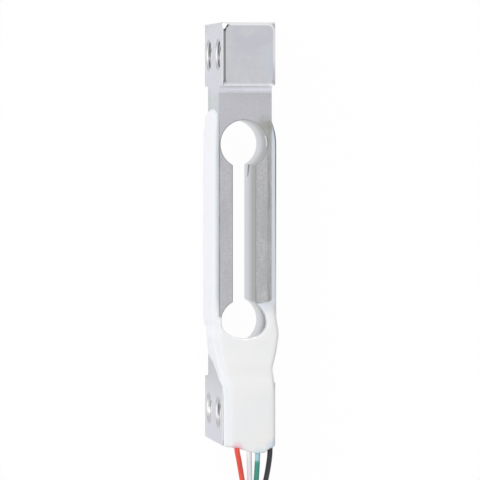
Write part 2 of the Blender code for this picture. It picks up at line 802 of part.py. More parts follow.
def make_cores():
    """Each lead's bare core, from its jacket round the neck's edge to its pad."""
    height = CORE_WIRE / 2 + WIRE_CLEARANCE + GLUE_LINE
    for name, (side, pad, inside, below) in CORES.items():
        start = Vector((LEAD_X[name], LEAD_START_Y, NECK_HIGH + LEAD_HEIGHT))
        turn = WINDOW_LOW_Y - below
        route = side_lane(side, pad, inside, below, CORE_WIRE, height)
        route += [
            front_point(start.x, turn, height),
            Vector((start.x, (turn + start.y) / 2, start.z)),
            start + Vector((0, LEAD_CHANNEL_GAP, 0)),
        ]
        add_tube(f"lead_core_{name}", bent_wire(route, CORE_BEND), CORE_WIRE, name, 1)


def make_links():
    """Two fine wires that join the strips' upper pads and their lower pads across the front."""
    height = LINK_WIRE / 2 + WIRE_CLEARANCE
    for pad, (inside, below) in LINKS.items():
        half = side_lane("left", pad, inside, below, LINK_WIRE, height)
        if pad == "lower":
            beside = SOLDER_RADIUS + LINK_WIRE / 2 + WIRE_CLEARANCE
            half[0] = on_side("left", -half[0].x - HALF_THICKNESS, half[0].y - beside, WIRING_Z)
            for point in half[1:3]:
                point.y -= beside
        other = [Vector((-p.x, p.y, p.z)) for p in reversed(half)]
        route = bent_wire(half + other, CORE_BEND)
        add_tube(f"link_wire_{pad}", route, LINK_WIRE, "enamel", 1)


def pad_ring(side, y):
    """The section of a side pad of the coat: a rectangle with two rounded outer corners."""
    share = value_at(PAD_SHARES[side], y)
    thickness = COAT_THICKNESS[side] * share
    round_end = PAD_END_ROUND * (1 - share) ** 2
    low, high = NECK_LOW + round_end, NECK_HIGH - round_end / 2
    corner = min(COAT_CORNER, thickness * 0.8)
    outline = [
        (-COAT_ROOT, low),
        *arc((thickness - corner, low + corner), corner, -90, 0, 4),
        *arc((thickness - corner, high - corner), corner, 0, 90, 4),
        (-COAT_ROOT, high),
    ]
    return [on_side(side, height, y, z) for height, z in outline]


def make_pad(side):
    rings = [pad_ring(side, y) for y in stations(PAD_SHARES[side], PAD_SPACING)]
    return cutter_from(loft(rings), f"coat_pad_{side}")


def slanted(x, y):
    """y, drawn down toward the left side near the front piece's upper edge."""
    near_top = min(max((y - FRONT_TOP_Y) / SLANT_LENGTH + 1, 0.0), 1.0)
    across = min(max((HALF_THICKNESS - x) / BEAM_THICKNESS, 0.0), 1.0)
    return y - TOP_SLANT * near_top * across


def flap(side, y, low, high):
    """One side of the front piece's section, from its lower edge round to its front, in X and Z."""
    half = HALF_THICKNESS + value_at(FLAP_THICKNESSES[side], y)
    thickness, corner = half - HALF_THICKNESS, (half - FRONT_CORNER, high)
    taper = min(FLAP_TAPER, (high - low) / 2)
    edge = [(HALF_THICKNESS + thickness * out, low + taper * up) for out, up in FLAP_PROFILE]
    rise = [(HALF_THICKNESS - COAT_ROOT, low), *edge, *arc(corner, FRONT_CORNER, 0, 90, 4)]
    return [(SIDES[side] * x, z) for x, z in rise]


def front_ring(y):
    """The section of the coat's front piece: over the beam's front and down both its sides."""
    top = value_at(FRONT_HEIGHTS, y)
    low = min(value_at(FLAP_BOTTOMS, y), top - FRONT_CORNER - ROOM_MARGIN)
    left, right = [flap(side, y, low, top - FRONT_CORNER) for side in SIDES]
    start, end = left[-1][0], right[-1][0]
    crown = [
        (start + (end - start) * share, top + 4 * FRONT_CROWN * share * (1 - share))
        for share in np.linspace(0, 1, 9)[1:-1]
    ]
    bed = NECK_HIGH - FRONT_BED if y > FRONT_BED - HALF_LENGTH else BEAM_WIDTH - ROOM_MARGIN
    foot = [(right[0][0], bed), (left[0][0], bed)]
    outline = [*left, *crown, *reversed(right), *foot]
    return [Vector((x, slanted(x, y), z)) for x, z in outline]


def make_front():
    """The front piece's blank, from the tip of its tongue to its upper edge."""
    rings = [front_ring(y) for y in stations(FRONT_HEIGHTS, FRONT_SPACING)]
    middle = BEAM_WIDTH + FRONT_BED
    tongue = []
    for reach, share in TONGUE_STEPS:
        ring = []
        for point in rings[0]:
            out = reach * value_at(TONGUE_REACH, point.x)
            x, z = point.x * (1 + share) / 2, middle + (point.z - middle) * share
            ring.append(Vector((x, point.y - out, z)))
        tongue.append(ring)
    return cutter_from(loft(tongue + rings), "coat_front")


def lip_cutter():
    """The window as the coat leaves it open: a lip of silicone hangs over its lower end."""
    rings = []
    for z in (NECK_LOW, BEAM_WIDTH + FRONT_BED):
        ring = []
        for x, y in window_outline(-LIP_OVERHANG):
            past_middle = min(y + WINDOW_Y, 0.0)
            ring.append((x, y - past_middle * (1 - LIP_SHARE), z))
        rings.append(ring)
    return cutter_from(loft(rings), "coat_window")


def coat_rooms():
    """Name, low and high corner of each room that the coat leaves for what lies under it."""
    inside = HALF_THICKNESS - 2 * COAT_ROOT
    edge, front_edge = NECK_HIGH - FRONT_BED, HALF_THICKNESS + LANE_RECESS
    half_film, half_strip = FILM_WIDTH / 2 + ROOM_MARGIN, STRIP_WIDTH / 2 + 2 * BACK_LANE_GAP
    wiring = WINDOW_Y - GRID_LENGTH / 2
    gauges = WINDOW_Y + FILM_LENGTH / 2 + ROOM_MARGIN
    turns = WINDOW_LOW_Y - LINKS["lower"][1] - LINK_WIRE
    rooms = {
        "wiring": (WIRING_RECESS, -wiring, wiring, WIRING_Z - half_strip, edge),
        "lane": (LANE_RECESS, turns, 0.0, NECK_HIGH - LINKS["lower"][0] - LINK_WIRE, edge),
        "gauges": (GAUGE_RECESS, -gauges, gauges, WIRING_Z - half_film, WIRING_Z + half_film),
    }
    for side, sign in SIDES.items():
        for name, (depth, y_low, y_high, z_low, z_high) in rooms.items():
            near, far = sorted((sign * inside, sign * (HALF_THICKNESS + depth)))
            yield f"{name}_{side}", (near, y_low, z_low), (far, y_high, z_high)
    low = (-front_edge, LEAD_START_Y, edge)
    yield "front", low, (front_edge, WINDOW_LOW_Y - ROOM_MARGIN, NECK_HIGH + FRONT_ROOM)


def make_coat():
    """The silicone coat: a pad on each side, and a front piece that covers the leads' roots."""
    core = loft([pad_ring("left", y) for y in (-PAD_PITCH, 0.0, PAD_PITCH)])
    coat = add_piece("silicone_coat", mesh_from(core, "silicone_coat", 40), "silicone")
    for side in SIDES:
        combine(coat, make_pad(side), "UNION", "MANIFOLD")
    combine(coat, make_front(), "UNION", "MANIFOLD")
    combine(coat, lip_cutter(), "DIFFERENCE", "MANIFOLD")
    combine(coat, cutter_from(beam_blank(COAT_GAP), "beam_room"), "DIFFERENCE", "MANIFOLD")
    for name, low, high in coat_rooms():
        room = cutter_from(box(low, high), f"{name}_room")
        combine(coat, room, "DIFFERENCE", "MANIFOLD")
    for name in LEAD_X:
        bore = LEAD_DIAMETER + 2 * LEAD_CHANNEL_GAP
        channel = tube_cutter(f"channel_{name}", lead_points(name), bore)
        combine(coat, channel, "DIFFERENCE", "MANIFOLD")


def make_leads():
    for name, tail in TAIL_ROUTES.items():
        add_tube(f"lead_{name}", lead_points(name), LEAD_DIAMETER, name)
        route = [(OUTER_LANE + across, HANK_FAR_Y - past, z) for across, past, z in tail]
        points = smooth_route(route, LEAD_POINT_SPACING)
        add_tube(f"lead_tail_{name}", points, LEAD_DIAMETER, name)
        end = points[-1]
        out = (points[-1] - points[-2]).normalized()
        out.z = 0
        out.normalize()
        start = end + out * LEAD_CHANNEL_GAP
        stops = [start, start + out * TIP_LENGTH / 2, start + out * TIP_LENGTH]
        add_tube(f"lead_tip_{name}", stops, TIP_DIAMETER, "solder")


def waist(y):
    """1 under the hank's tie, easing to 0 at both ends of its straight runs."""
    past_tie = max(abs(y - HANK_MID_Y) - TIE_ROOM / 2, 0.0)
    share = min(past_tie / ((HANK_RUN - TIE_ROOM) / 2), 1.0)
    return math.cos(share * math.pi / 2) ** 2


def hank_ring(y):
    """The hank's section: as wide as its outer turn, lifted where it lies on the tie."""
    past = max(y - HANK_NEAR_Y, HANK_FAR_Y - y, 0.0)
    half = math.sqrt(max(HANK_OUTER_RADIUS**2 - past**2, 0.0)) - HANK_WAIST * waist(y)
    low = HANK_LIFT * waist(y)
    high = low + HANK_HEIGHT
    return [(-half, y, low), (half, y, low), (half, y, high), (-half, y, high)]


def make_hank():
    turn = np.radians(np.linspace(8, 90, 9))
    near = [HANK_NEAR_Y + HANK_OUTER_RADIUS * math.cos(a) for a in turn]
    far = [HANK_FAR_Y - HANK_OUTER_RADIUS * math.cos(a) for a in turn]
    near_run = np.linspace(HANK_NEAR_Y, HANK_MID_Y + TIE_ROOM / 2, 7)[1:]
    far_run = np.linspace(HANK_MID_Y - TIE_ROOM / 2, HANK_FAR_Y, 7)[:-1]
    places = [*near, *near_run, *far_run, *far[::-1]]
    bm = loft([hank_ring(y) for y in places])
    return add_piece("lead_hank", mesh_from(bm, "lead_hank"), "leads")


def make_tie():
    """A band round the hank's waist, its two ends twisted together on top."""
    half = hank_ring(HANK_MID_Y)[1][0] + TIE_GAP
    top = HANK_LIFT + HANK_HEIGHT + TIE_GAP
    low_y, high_y = HANK_MID_Y - TIE_WIDTH / 2, HANK_MID_Y + TIE_WIDTH / 2
    outer = box(
        (-half - TIE_THICKNESS, low_y, 0.0),
        (half + TIE_THICKNESS, high_y, top + TIE_THICKNESS),
    )
    tie = add_piece("hank_tie", mesh_from(outer, "hank_tie"), "tie")
    over = TIE_WIDTH
    inner = box((-half, low_y - over, TIE_THICKNESS), (half, high_y + over, top))
    combine(tie, cutter_from(inner, "tie_bore"), "DIFFERENCE")
    rings = []
    for share in np.linspace(0, 1, 19):
        angle = math.radians(TWIST_DEGREES) * share
        climb = TWIST_HALF_WIDTH * 1.5 * min(share * 6, 1.0) + TWIST_LENGTH * 0.12 * share
        centre = Vector((0, HANK_MID_Y + TWIST_LENGTH * share, top + TIE_THICKNESS / 2 + climb))
        wide = Vector((math.cos(angle), 0, math.sin(angle))) * TWIST_HALF_WIDTH
        thin = Vector((-math.sin(angle), 0, math.cos(angle))) * TIE_THICKNESS / 2
        rings.append([centre + wide * a + thin * b for a, b in ((-1, -1), (1, -1), (1, 1), (-1, 1))])
    combine(tie, cutter_from(loft(rings), "tie_twist"), "UNION")
    return tie


def make_load_cell():
    clear_scene()
    bpy.context.scene.collection.objects.link(bpy.data.objects.new("load_cell", None))
    make_beam()
    for side, numbers in (("left", (1, 2)), ("right", (3, 4))):
        for end, number in zip((1, -1), numbers):
            tab_height = make_gauge(side, end, number)
        make_strip(side)
        for pad in PAD_NAMES:
            make_solder(side, pad)
        make_gauge_wires(side, numbers, tab_height)
    make_cores()
    make_links()
    make_coat()
    make_leads()
    make_hank()
    make_tie()


make_load_cell()
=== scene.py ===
import math

import bmesh
import bpy
import numpy as np
from mathutils import Matrix, Vector


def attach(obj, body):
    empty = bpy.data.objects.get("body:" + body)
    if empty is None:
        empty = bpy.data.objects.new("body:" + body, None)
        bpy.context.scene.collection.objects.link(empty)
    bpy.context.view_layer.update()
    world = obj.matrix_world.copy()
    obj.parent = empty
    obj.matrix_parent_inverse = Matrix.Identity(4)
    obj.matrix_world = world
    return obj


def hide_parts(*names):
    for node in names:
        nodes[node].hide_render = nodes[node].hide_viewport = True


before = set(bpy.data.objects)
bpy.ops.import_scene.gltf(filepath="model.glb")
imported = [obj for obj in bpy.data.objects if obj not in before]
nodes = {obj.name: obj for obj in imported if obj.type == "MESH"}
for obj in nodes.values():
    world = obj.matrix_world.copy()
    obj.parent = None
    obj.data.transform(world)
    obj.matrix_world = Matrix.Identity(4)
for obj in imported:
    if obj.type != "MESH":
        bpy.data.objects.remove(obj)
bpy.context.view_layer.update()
mm = 0.001  # every place and size below is in millimetres

# A small beam load cell on a white table, its four leads wound into a hank past its end

print("Camera")

# Where the photo was taken from, with the lens for a sensor of 36 mm
view = {
    "place": (-68.1, 12.7, 377.7),
    "forward": (0.1802, -0.0358, -0.9830),
    "up": (0.0065, 0.9994, -0.0352),
    "lens": 251.55,
}


def addCamera():
    data = bpy.data.cameras.new("camera")
    data.lens = view["lens"]
    data.sensor_width = 36.0
    data.clip_start = 0.02
    data.clip_end = 20
    eye = bpy.data.objects.new("camera", data)
    bpy.context.scene.collection.objects.link(eye)
    back = -Vector(view["forward"]).normalized()
    right = Vector(view["up"]).cross(back).normalized()
    up = back.cross(right)
    turned = Matrix((right, up, back)).transposed().to_4x4()
    eye.matrix_world = Matrix.Translation(Vector(view["place"]) * mm) @ turned
    bpy.context.scene.camera = eye


addCamera()

# Node helpers that every finish uses


def newFinish(name):
    finish = bpy.data.materials.new(name)
    finish.use_nodes = True
    tree = finish.node_tree
    return finish, tree, tree.nodes["Principled BSDF"]


def addNode(tree, kind, values=None, links=None, **settings):
    made = tree.nodes.new("ShaderNode" + kind)
    for key, value in settings.items():
        setattr(made, key, value)
    for key, value in (values or {}).items():
        made.inputs[key].default_value = value
    for key, socket in (links or {}).items():
        tree.links.new(socket, made.inputs[key])
    return made


def feed(tree, socket, value):
    # Links another node's output, or sets a plain value or colour
    if isinstance(value, bpy.types.NodeSocket):
        tree.links.new(value, socket)
    elif isinstance(value, tuple):
        socket.default_value = (*value, 1)
    elif value is not None:
        socket.default_value = value


def objectCoords(tree, stretch=(1, 1, 1)):
    coords = addNode(tree, "TexCoord").outputs["Object"]
    return addNode(tree, "Mapping", {"Scale": stretch}, {"Vector": coords}).outputs["Vector"]


def noise(tree, coords, scale, detail=3.0, rough=0.5):
    values = {"Scale": scale, "Detail": detail, "Roughness": rough}
    return addNode(tree, "TexNoise", values, {"Vector": coords}).outputs["Fac"]


def ramp(tree, factor, *stops):
    made = addNode(tree, "ValToRGB", None, {"Fac": factor})
    line = made.color_ramp
    line.elements[0].position, line.elements[0].color = stops[0][0], (*stops[0][1], 1)
    line.elements[1].position, line.elements[1].color = stops[-1][0], (*stops[-1][1], 1)
    for place, colour in stops[1:-1]:
        line.elements.new(place).color = (*colour, 1)
    return made.outputs["Color"]


def remap(tree, value, fromLow, fromHigh, toLow=0.0, toHigh=1.0):
    values = {"From Min": fromLow, "From Max": fromHigh, "To Min": toLow, "To Max": toHigh}
    return addNode(tree, "MapRange", values, {"Value": value}).outputs["Result"]


def mixColour(tree, factor, one, two):
    made = addNode(tree, "MixRGB")
    for key, value in (("Fac", factor), ("Color1", one), ("Color2", two)):
        feed(tree, made.inputs[key], value)
    return made.outputs["Color"]


def layer(tree, colour, mask, paint):
    # Paint is how strongly it covers, then its colour
    strength, tint = paint
    return mixColour(tree, maths(tree, "MULTIPLY", mask, strength), colour, tint)


def maths(tree, operation, one, two=None):
    made = addNode(tree, "Math", operation=operation)
    for i, value in enumerate((one, two)):
        feed(tree, made.inputs[i], value)
    return made.outputs["Value"]


def blendValue(tree, factor, low, high):
    made = addNode(tree, "Mix")
    for i, value in ((0, factor), (2, low), (3, high)):
        feed(tree, made.inputs[i], value)
    return made.outputs[0]


def axes(tree, vector):
    return addNode(tree, "SeparateXYZ", None, {"Vector": vector}).outputs


def product(tree, *values):
    result = values[0]
    for value in values[1:]:
        result = maths(tree, "MULTIPLY", result, value)
    return result


def above(tree, value, low, high):
    # Rises from 0 to 1 between two places
    return remap(tree, value, low * mm, high * mm)


def below(tree, value, low, high):
    # Falls from 1 to 0 between two places
    return remap(tree, value, low * mm, high * mm, 1.0, 0.0)


def within(tree, value, low, high, fade):
    # 1 between two places, easing to 0 outside them
    return maths(tree, "MULTIPLY", above(tree, value, low - fade, low), below(tree, value, high, high + fade))


def addBump(tree, shader, height, strength, distance):
    values = {"Strength": strength, "Distance": distance}
    bump = addNode(tree, "Bump", values, {"Height": height})
    tree.links.new(bump.outputs["Normal"], shader.inputs["Normal"])


def near(tree, coords, place, reach, fade):
    # 1 within reach of a place, easing to 0 over fade past that
    away = addNode(tree, "VectorMath", {1: Vector(place) * mm}, {0: coords}, operation="DISTANCE")
    return remap(tree, away.outputs["Value"], reach * mm, (reach + fade) * mm, 1.0, 0.0)


print("Leads")

leads = {
    "jacket": 0.6,
    "spacing": 0.45,
    "roundness": 5,
    "filmY": (-25.05, -23.0, 0.35),  # where silicone films a lead: from, to and fade
    # Y and Z of the stretch under the coat, which all four share
    "rootRoute": (
        (-13.75, 9.88), (-14.55, 10.20), (-15.25, 11.20), (-16.0, 12.10), (-16.9, 12.36), (-18.5, 12.38),
        (-21.0, 12.38),
    ),
    "rootX": {"red": -1.45, "white": -0.12, "green": 0.88, "black": 2.28},
    # X, how far past the beam's end, and Z, from the coat to the tie
    "routes": {
        "red": (
            (-1.50, 0.1, 12.37), (-1.22, 1.7, 12.28), (-0.70, 4.2, 11.60), (-0.30, 6.2, 10.10), (0.10, 8.0, 8.00),
            (0.55, 9.6, 5.91), (0.95, 11.0, 4.50), (1.18, 12.2, 3.65), (1.08, 13.3, 2.95), (0.85, 14.1, 2.50),
        ),
        "white": (
            (-0.12, 0.1, 12.37), (-0.05, 1.7, 12.20), (0.15, 4.1, 11.30), (0.40, 6.0, 9.70), (0.70, 7.7, 7.50),
            (1.00, 9.1, 5.60), (1.25, 10.4, 4.30), (1.38, 11.5, 3.35), (1.30, 12.6, 2.60), (1.05, 13.6, 2.05),
        ),
        "green": (
            (0.88, 0.3, 12.36), (0.86, 1.8, 12.19), (0.94, 4.0, 11.10), (1.10, 5.8, 9.30), (1.30, 7.3, 7.10),
            (1.50, 8.5, 5.30), (1.58, 9.6, 4.00), (1.55, 10.7, 3.15), (1.45, 11.7, 2.35), (1.28, 12.7, 1.75),
            (1.00, 13.7, 1.38),
        ),
        "black": (
            (2.27, 0.1, 12.37), (2.22, 1.6, 12.17), (2.08, 3.9, 10.90), (2.00, 5.6, 8.80), (1.98, 6.8, 6.90),
            (1.94, 7.8, 5.20), (1.86, 8.8, 3.85), (1.74, 9.8, 2.98), (1.60, 10.8, 2.20), (1.45, 11.8, 1.45),
            (1.24, 12.7, 0.95),
        ),
    },
    # How high each lies in the hank, and where its tail goes past the tie
    "levels": {"black": 0.3, "green": 0.9, "white": 1.5, "red": 2.1},
    "tails": {
        "black": ((4.28, -46.5, 0.30), (4.45, -47.5, 0.30), (4.64, -48.6, 0.30)),
        "green": ((4.28, -46.5, 0.93), (4.10, -47.5, 0.87), (3.78, -48.6, 0.52), (3.60, -49.4, 0.31)),
        "white": (
            (4.26, -46.5, 1.56), (3.80, -47.5, 1.45), (3.15, -48.6, 0.95), (2.75, -49.5, 0.42),
            (2.58, -50.0, 0.31),
        ),
        "red": (
            (4.20, -46.5, 2.19), (3.50, -47.5, 2.08), (2.65, -48.6, 1.50), (2.00, -49.6, 0.72),
            (1.65, -50.3, 0.34),
        ),
    },
}
hank = {
    "nearY": -33.78,
    "farY": -43.78,
    "tieY": -38.78,
    "tieHalf": 0.7,
    "waist": 4.3,  # how far the runs take to spread again past the tie
    "innerRadius": 1.8,
    "pitch": 0.62,
    "turns": 4,
    "pull": 1.1,  # how far the tie pulls each run in
    "lift": 0.35,  # and how far the runs rise where they lie on it
}
beamEnd = -23.5


def smoothRoute(points, spacing):
    # A smooth curve through the points, in steps of equal length
    given = [Vector(p) for p in points]
    given = [2 * given[0] - given[1], *given, 2 * given[-1] - given[-2]]
    line = []
    for a, b, c, d in zip(given, given[1:], given[2:], given[3:]):
        for t in np.linspace(0, 1, 10, endpoint=False):
            bend = (2 * a - 5 * b + 4 * c - d) * t**2 + (3 * b - a - 3 * c + d) * t**3
            line.append(0.5 * (2 * b + (c - a) * t + bend))
    line = np.array([*line, given[-2]])
    along = np.concatenate([[0], np.cumsum(np.linalg.norm(np.diff(line, axis=0), axis=1))])
    places = np.linspace(0, along[-1], round(along[-1] / spacing) + 1)
    return [Vector(p) for p in zip(*(np.interp(places, along, line[:, k]) for k in range(3)))]


def waist(y):
    share = min(max(abs(y - hank["tieY"]) - hank["tieHalf"], 0) / hank["waist"], 1)
    return math.cos(share * math.pi / 2) ** 2


def hankTurns(level):
    points = []
    radius, grow = hank["innerRadius"], hank["pitch"] / 2
    nearY, farY = hank["nearY"], hank["farY"]

    def run(side, start, end, steps):
        for y in np.linspace(start, end, steps + 1):
            pull = waist(y)
            points.append((side * (radius - hank["pull"] * pull), y, level + hank["lift"] * pull))

    bends = np.radians(np.linspace(18, 162, 9))
    for turn in range(hank["turns"]):
        run(1, nearY if turn else hank["tieY"] + 0.4, farY, 10 if turn else 6)
        for angle in bends:
            r = radius + grow * angle / math.pi
            points.append((r * math.cos(angle), farY - r * math.sin(angle), level))
        radius += grow
        run(-1, farY, nearY, 10)
        for angle in bends[::-1]:
            r = radius + grow * (1 - angle / math.pi)
            points.append((r * math.cos(angle), nearY + r * math.sin(angle), level))
        radius += grow
    run(1, nearY, farY, 10)
    return points


def leadRoute(name):
    route = [(leads["rootX"][name], y, z) for y, z in leads["rootRoute"]]
    route += [(x, beamEnd - past, z) for x, past, z in leads["routes"][name]]
    route += hankTurns(leads["levels"][name])
    route += leads["tails"][name]
    return smoothRoute(route, leads["spacing"])


def jacketFinish(name, colour, scuff, gloss, film=0.0):
    finish, tree, shader = newFinish(name)
    coords = objectCoords(tree)
    broad = noise(tree, coords, 700.0, 2.0)
    fine = noise(tree, coords, 9000.0, 3.0)
    shade = ramp(tree, broad, (0.3, [c * 0.86 for c in colour]), (0.7, colour))
    specks = remap(tree, fine, 0.62, 0.74, 0.0, 0.35)
    shade = mixColour(tree, specks, shade, scuff)
    filmed = maths(tree, "MULTIPLY", within(tree, axes(tree, coords)[1], *leads["filmY"]), film)
    tree.links.new(mixColour(tree, filmed, shade, (0.42, 0.68, 0.78)), shader.inputs["Base Color"])
    tree.links.new(remap(tree, fine, 0.3, 0.7, gloss - 0.06, gloss + 0.10), shader.inputs["Roughness"])
    addBump(tree, shader, fine, 0.25, 0.00001)
    return finish


jackets = {
    "red": jacketFinish("redJacket", (0.90, 0.085, 0.055), (0.95, 0.30, 0.24), 0.36),
    "white": jacketFinish("whiteJacket", (0.94, 0.94, 0.98), (0.78, 0.78, 0.80), 0.38),
    "green": jacketFinish("greenJacket", (0.045, 0.335, 0.250), (0.20, 0.50, 0.42), 0.36, film=0.9),
    "black": jacketFinish("blackJacket", (0.026, 0.028, 0.034), (0.12, 0.12, 0.13), 0.34),
}


def addLead(name):
    route = leadRoute(name)
    curve = bpy.data.curves.new("lead" + name.title(), "CURVE")
    curve.dimensions = "3D"
    curve.bevel_depth = leads["jacket"] / 2 * mm
    curve.bevel_resolution = leads["roundness"]
    curve.use_fill_caps = True
    curve.twist_mode = "MINIMUM"
    spline = curve.splines.new("POLY")
    spline.points.add(len(route) - 1)
    for place, point in zip(spline.points, route):
        place.co = (*(point * mm), 1)
    spline.use_smooth = True
    curve.materials.append(jackets[name])
    lead = bpy.data.objects.new("lead" + name.title(), curve)
    bpy.context.scene.collection.objects.link(lead)
    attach(lead, "root")
    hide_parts(f"lead_{name}", f"lead_tail_{name}", "lead_hank")


for leadName in ("red", "white", "green", "black"):
    addLead(leadName)

print("Beam")

beam = {
    "length": 47.0,
    "thickness": 6.0,
    "width": 12.0,
    "block": 7.0,
    "neckLow": 2.5,
    "neckHigh": 9.5,
    "fillet": 0.6,
    "corner": 0.16,
    "neckRound": 0.105,
    # Worn rim of the blocks' front and back faces, from the flat outward: width and slope of each step
    "rim": ((0.09, 33), (0.09, 36), (0.06, 40), (0.03, 47), (0.03, 54), (0.02, 64), (0.01, 75), (0.01, 83)),
    # Radius of the rim's corners over how far in they lie
    "rimCorners": ((0.0, 0.16), (0.04, 0.24), (0.12, 0.74), (0.34, 0.62), (0.50, 0.48)),
    "rimShort": 0.12,  # the rim is this much narrower beside the neck
    "windowRadius": 2.68,
    "windowX": -0.12,
    "windowY": 10.0,
    "slot": 2.58,
    "slotEnd": 7.7,  # Y past which a point of the window's edge belongs to a circle
    "windowChamfer": 0.07,
    "holeY": 20.0,
    "holeZ": (3.0, 9.0),
    "threadPitch": 0.5,
    # One pitch's profile: share of the pitch, and radius
    "thread": ((0.0, 1.25), (0.25, 1.25), (0.56, 1.5), (0.69, 1.5)),
    # The countersink's profile: how far out of the side face, and radius
    "mouth": ((0.3, 0.0), (0.3, 2.06), (0.0, 1.76), (-0.20, 1.56), (-0.40, 1.52), (-0.62, 1.20), (-0.62, 0.0)),
    # Shades of the metal, each ramp from its darkest patches to its lightest
    "blockShades": ((0.30, (0.525, 0.528, 0.580)), (0.50, (0.545, 0.550, 0.594)), (0.72, (0.570, 0.570, 0.596))),
    "railShades": ((0.34, (0.435, 0.438, 0.435)), (0.50, (0.480, 0.480, 0.498)), (0.68, (0.535, 0.535, 0.555))),
    # Painted shade up the window's wall: light deep down, dark near its top
    "wallShades": (
        (0.0, (0.83, 0.85, 0.90)), (0.23, (0.71, 0.73, 0.77)), (0.46, (0.545, 0.555, 0.585)),
        (0.57, (0.43, 0.445, 0.46)), (0.70, (0.37, 0.375, 0.38)), (0.82, (0.36, 0.365, 0.36)),
        (1.0, (0.37, 0.375, 0.37)),
    ),
    "boreShades": ((0.20, 0.20, 0.21), (0.74, 0.74, 0.75)),  # painted shade deep in a bore, and the clean metal
    "mouthShades": ((0.96, 0.96, 0.97), (0.58, 0.58, 0.61)),  # painted highlight: bright where it faces across the beam, duller where it faces along it
    # How strongly each mark covers the metal, and its colour
    "paint": {
        "clouds": (0.30, (0.66, 0.66, 0.65)),
        "bluish": (0.55, (0.53, 0.59, 0.65)),
        "neck": (1.0, (0.520, 0.520, 0.560)),
        "patches": (0.55, (0.385, 0.388, 0.392)),
        "leftRail": (0.32, (0.56, 0.56, 0.61)),
        "besideBlockHighlight": (0.9, (0.68, 0.68, 0.74)),
        "step": (1.0, (0.95, 0.95, 0.97)),
        "speckle": (1.0, (0.30, 0.30, 0.31)),
        "milling": (0.12, (0.40, 0.41, 0.43)),
        "groundSidesAndReflection": (0.85, (0.678, 0.680, 0.764)),
        "lipShadow": (0.65, (0.13, 0.135, 0.14)),
        "stain": (1.0, (0.56, 0.60, 0.605)),
        "lowSideShade": (0.9, (0.535, 0.545, 0.580)),
        "rim": (1.0, (0.80, 0.80, 0.81)),
        "cornerDarkReflection": (1.0, (0.075, 0.075, 0.080)),
        "mouthShadeLine": (0.35, (0.30, 0.30, 0.31)),
        "rightEdgeShade": (1.0, (0.245, 0.255, 0.235)),
        "leftEdgeShade": (1.0, (0.22, 0.23, 0.24)),
        "smear": (0.66, (0.30, 0.31, 0.25)),
        "glint": (1.0, (0.90, 0.90, 0.92)),
        "burrShade": (1.0, (0.06, 0.06, 0.06)),
    },
}


def linkMesh(bm, name, degrees=35):
    mesh = bpy.data.meshes.new(name)
    bm.to_mesh(mesh)
    bm.free()
    mesh.shade_smooth()
    mesh.set_sharp_from_angle(angle=math.radians(degrees))
    piece = bpy.data.objects.new(name, mesh)
    bpy.context.scene.collection.objects.link(piece)
    return piece


def applyAll(piece):
    graph = bpy.context.evaluated_depsgraph_get()
    mesh = bpy.data.meshes.new_from_object(piece.evaluated_get(graph))
    piece.modifiers.clear()
    piece.data = mesh


def cutWith(piece, cutter):
    step = piece.modifiers.new("cut", "BOOLEAN")
    step.object = cutter
    step.operation = "DIFFERENCE"
    step.solver = "MANIFOLD"
    applyAll(piece)
    bpy.data.objects.remove(cutter)


def scaleToMetres(bm):
    bmesh.ops.scale(bm, vec=(mm, mm, mm), verts=bm.verts)


def vertsOf(made):
    return [v for v in made["geom"] if isinstance(v, bmesh.types.BMVert)]


def beamBlank():
    half, inner = beam["length"] / 2, beam["length"] / 2 - beam["block"]
    low, high, width = beam["neckLow"], beam["neckHigh"], beam["width"]
    bm = bmesh.new()
    corners = [
        (-half, 0), (-inner, 0), (-inner, low), (inner, low), (inner, 0), (half, 0),
        (half, width), (inner, width), (inner, high), (-inner, high), (-inner, width), (-half, width),
    ]
    bm.faces.new([bm.verts.new((-beam["thickness"] / 2, y, z)) for y, z in corners])
    insideCorners = [v for v in bm.verts if abs(v.co.y) < half and low <= v.co.z <= high]
    bmesh.ops.bevel(
        bm, geom=insideCorners, offset=beam["fillet"], segments=10, profile=0.5, affect="VERTICES", material=-1,
    )
    grown = bmesh.ops.extrude_face_region(bm, geom=list(bm.faces))
    bmesh.ops.translate(bm, vec=(beam["thickness"], 0, 0), verts=vertsOf(grown))
    bmesh.ops.recalc_face_normals(bm, faces=bm.faces)

    # The rims of the blocks' front and back faces are cut later
    weights = bm.edges.layers.float.new("bevel_weight_edge")
    for edge in bm.edges:
        if edge.calc_face_angle(0) < math.radians(40):
            continue
        one, two = (v.co for v in edge.verts)
        middle = (one + two) / 2
        onNeck = abs(middle.y) < inner - 0.01
        onRim = min(middle.z, width - middle.z) < 0.01
        if not onRim:
            edge[weights] = beam["neckRound"] if onNeck else beam["corner"]
    scaleToMetres(bm)
    blank = linkMesh(bm, "loadCellBeam", 30)
    rounding = blank.modifiers.new("rounding", "BEVEL")
    rounding.limit_method = "WEIGHT"
    rounding.width = mm
    rounding.segments = 5
    applyAll(blank)
    return blank


def roundedLoop(bm, inset, corner, centreY, z):
    halfX, halfY = beam["thickness"] / 2 - inset, (beam["block"] + beam["rimShort"]) / 2 - inset
    grid = bmesh.ops.create_grid(bm, x_segments=1, y_segments=1, size=1.0)["verts"]
    bmesh.ops.scale(bm, vec=(halfX, halfY, 1), verts=grid)
    bmesh.ops.translate(bm, vec=(0, centreY, z), verts=grid)
    made = bmesh.ops.bevel(
        bm, geom=grid, offset=corner, segments=7, profile=0.5, affect="VERTICES", material=-1,
    )
    face = max({f for v in made["verts"] for f in v.link_faces}, key=lambda f: len(f.verts))
    loop = list(face.edges)
    bmesh.ops.delete(bm, geom=[face], context="FACES_ONLY")
    return loop


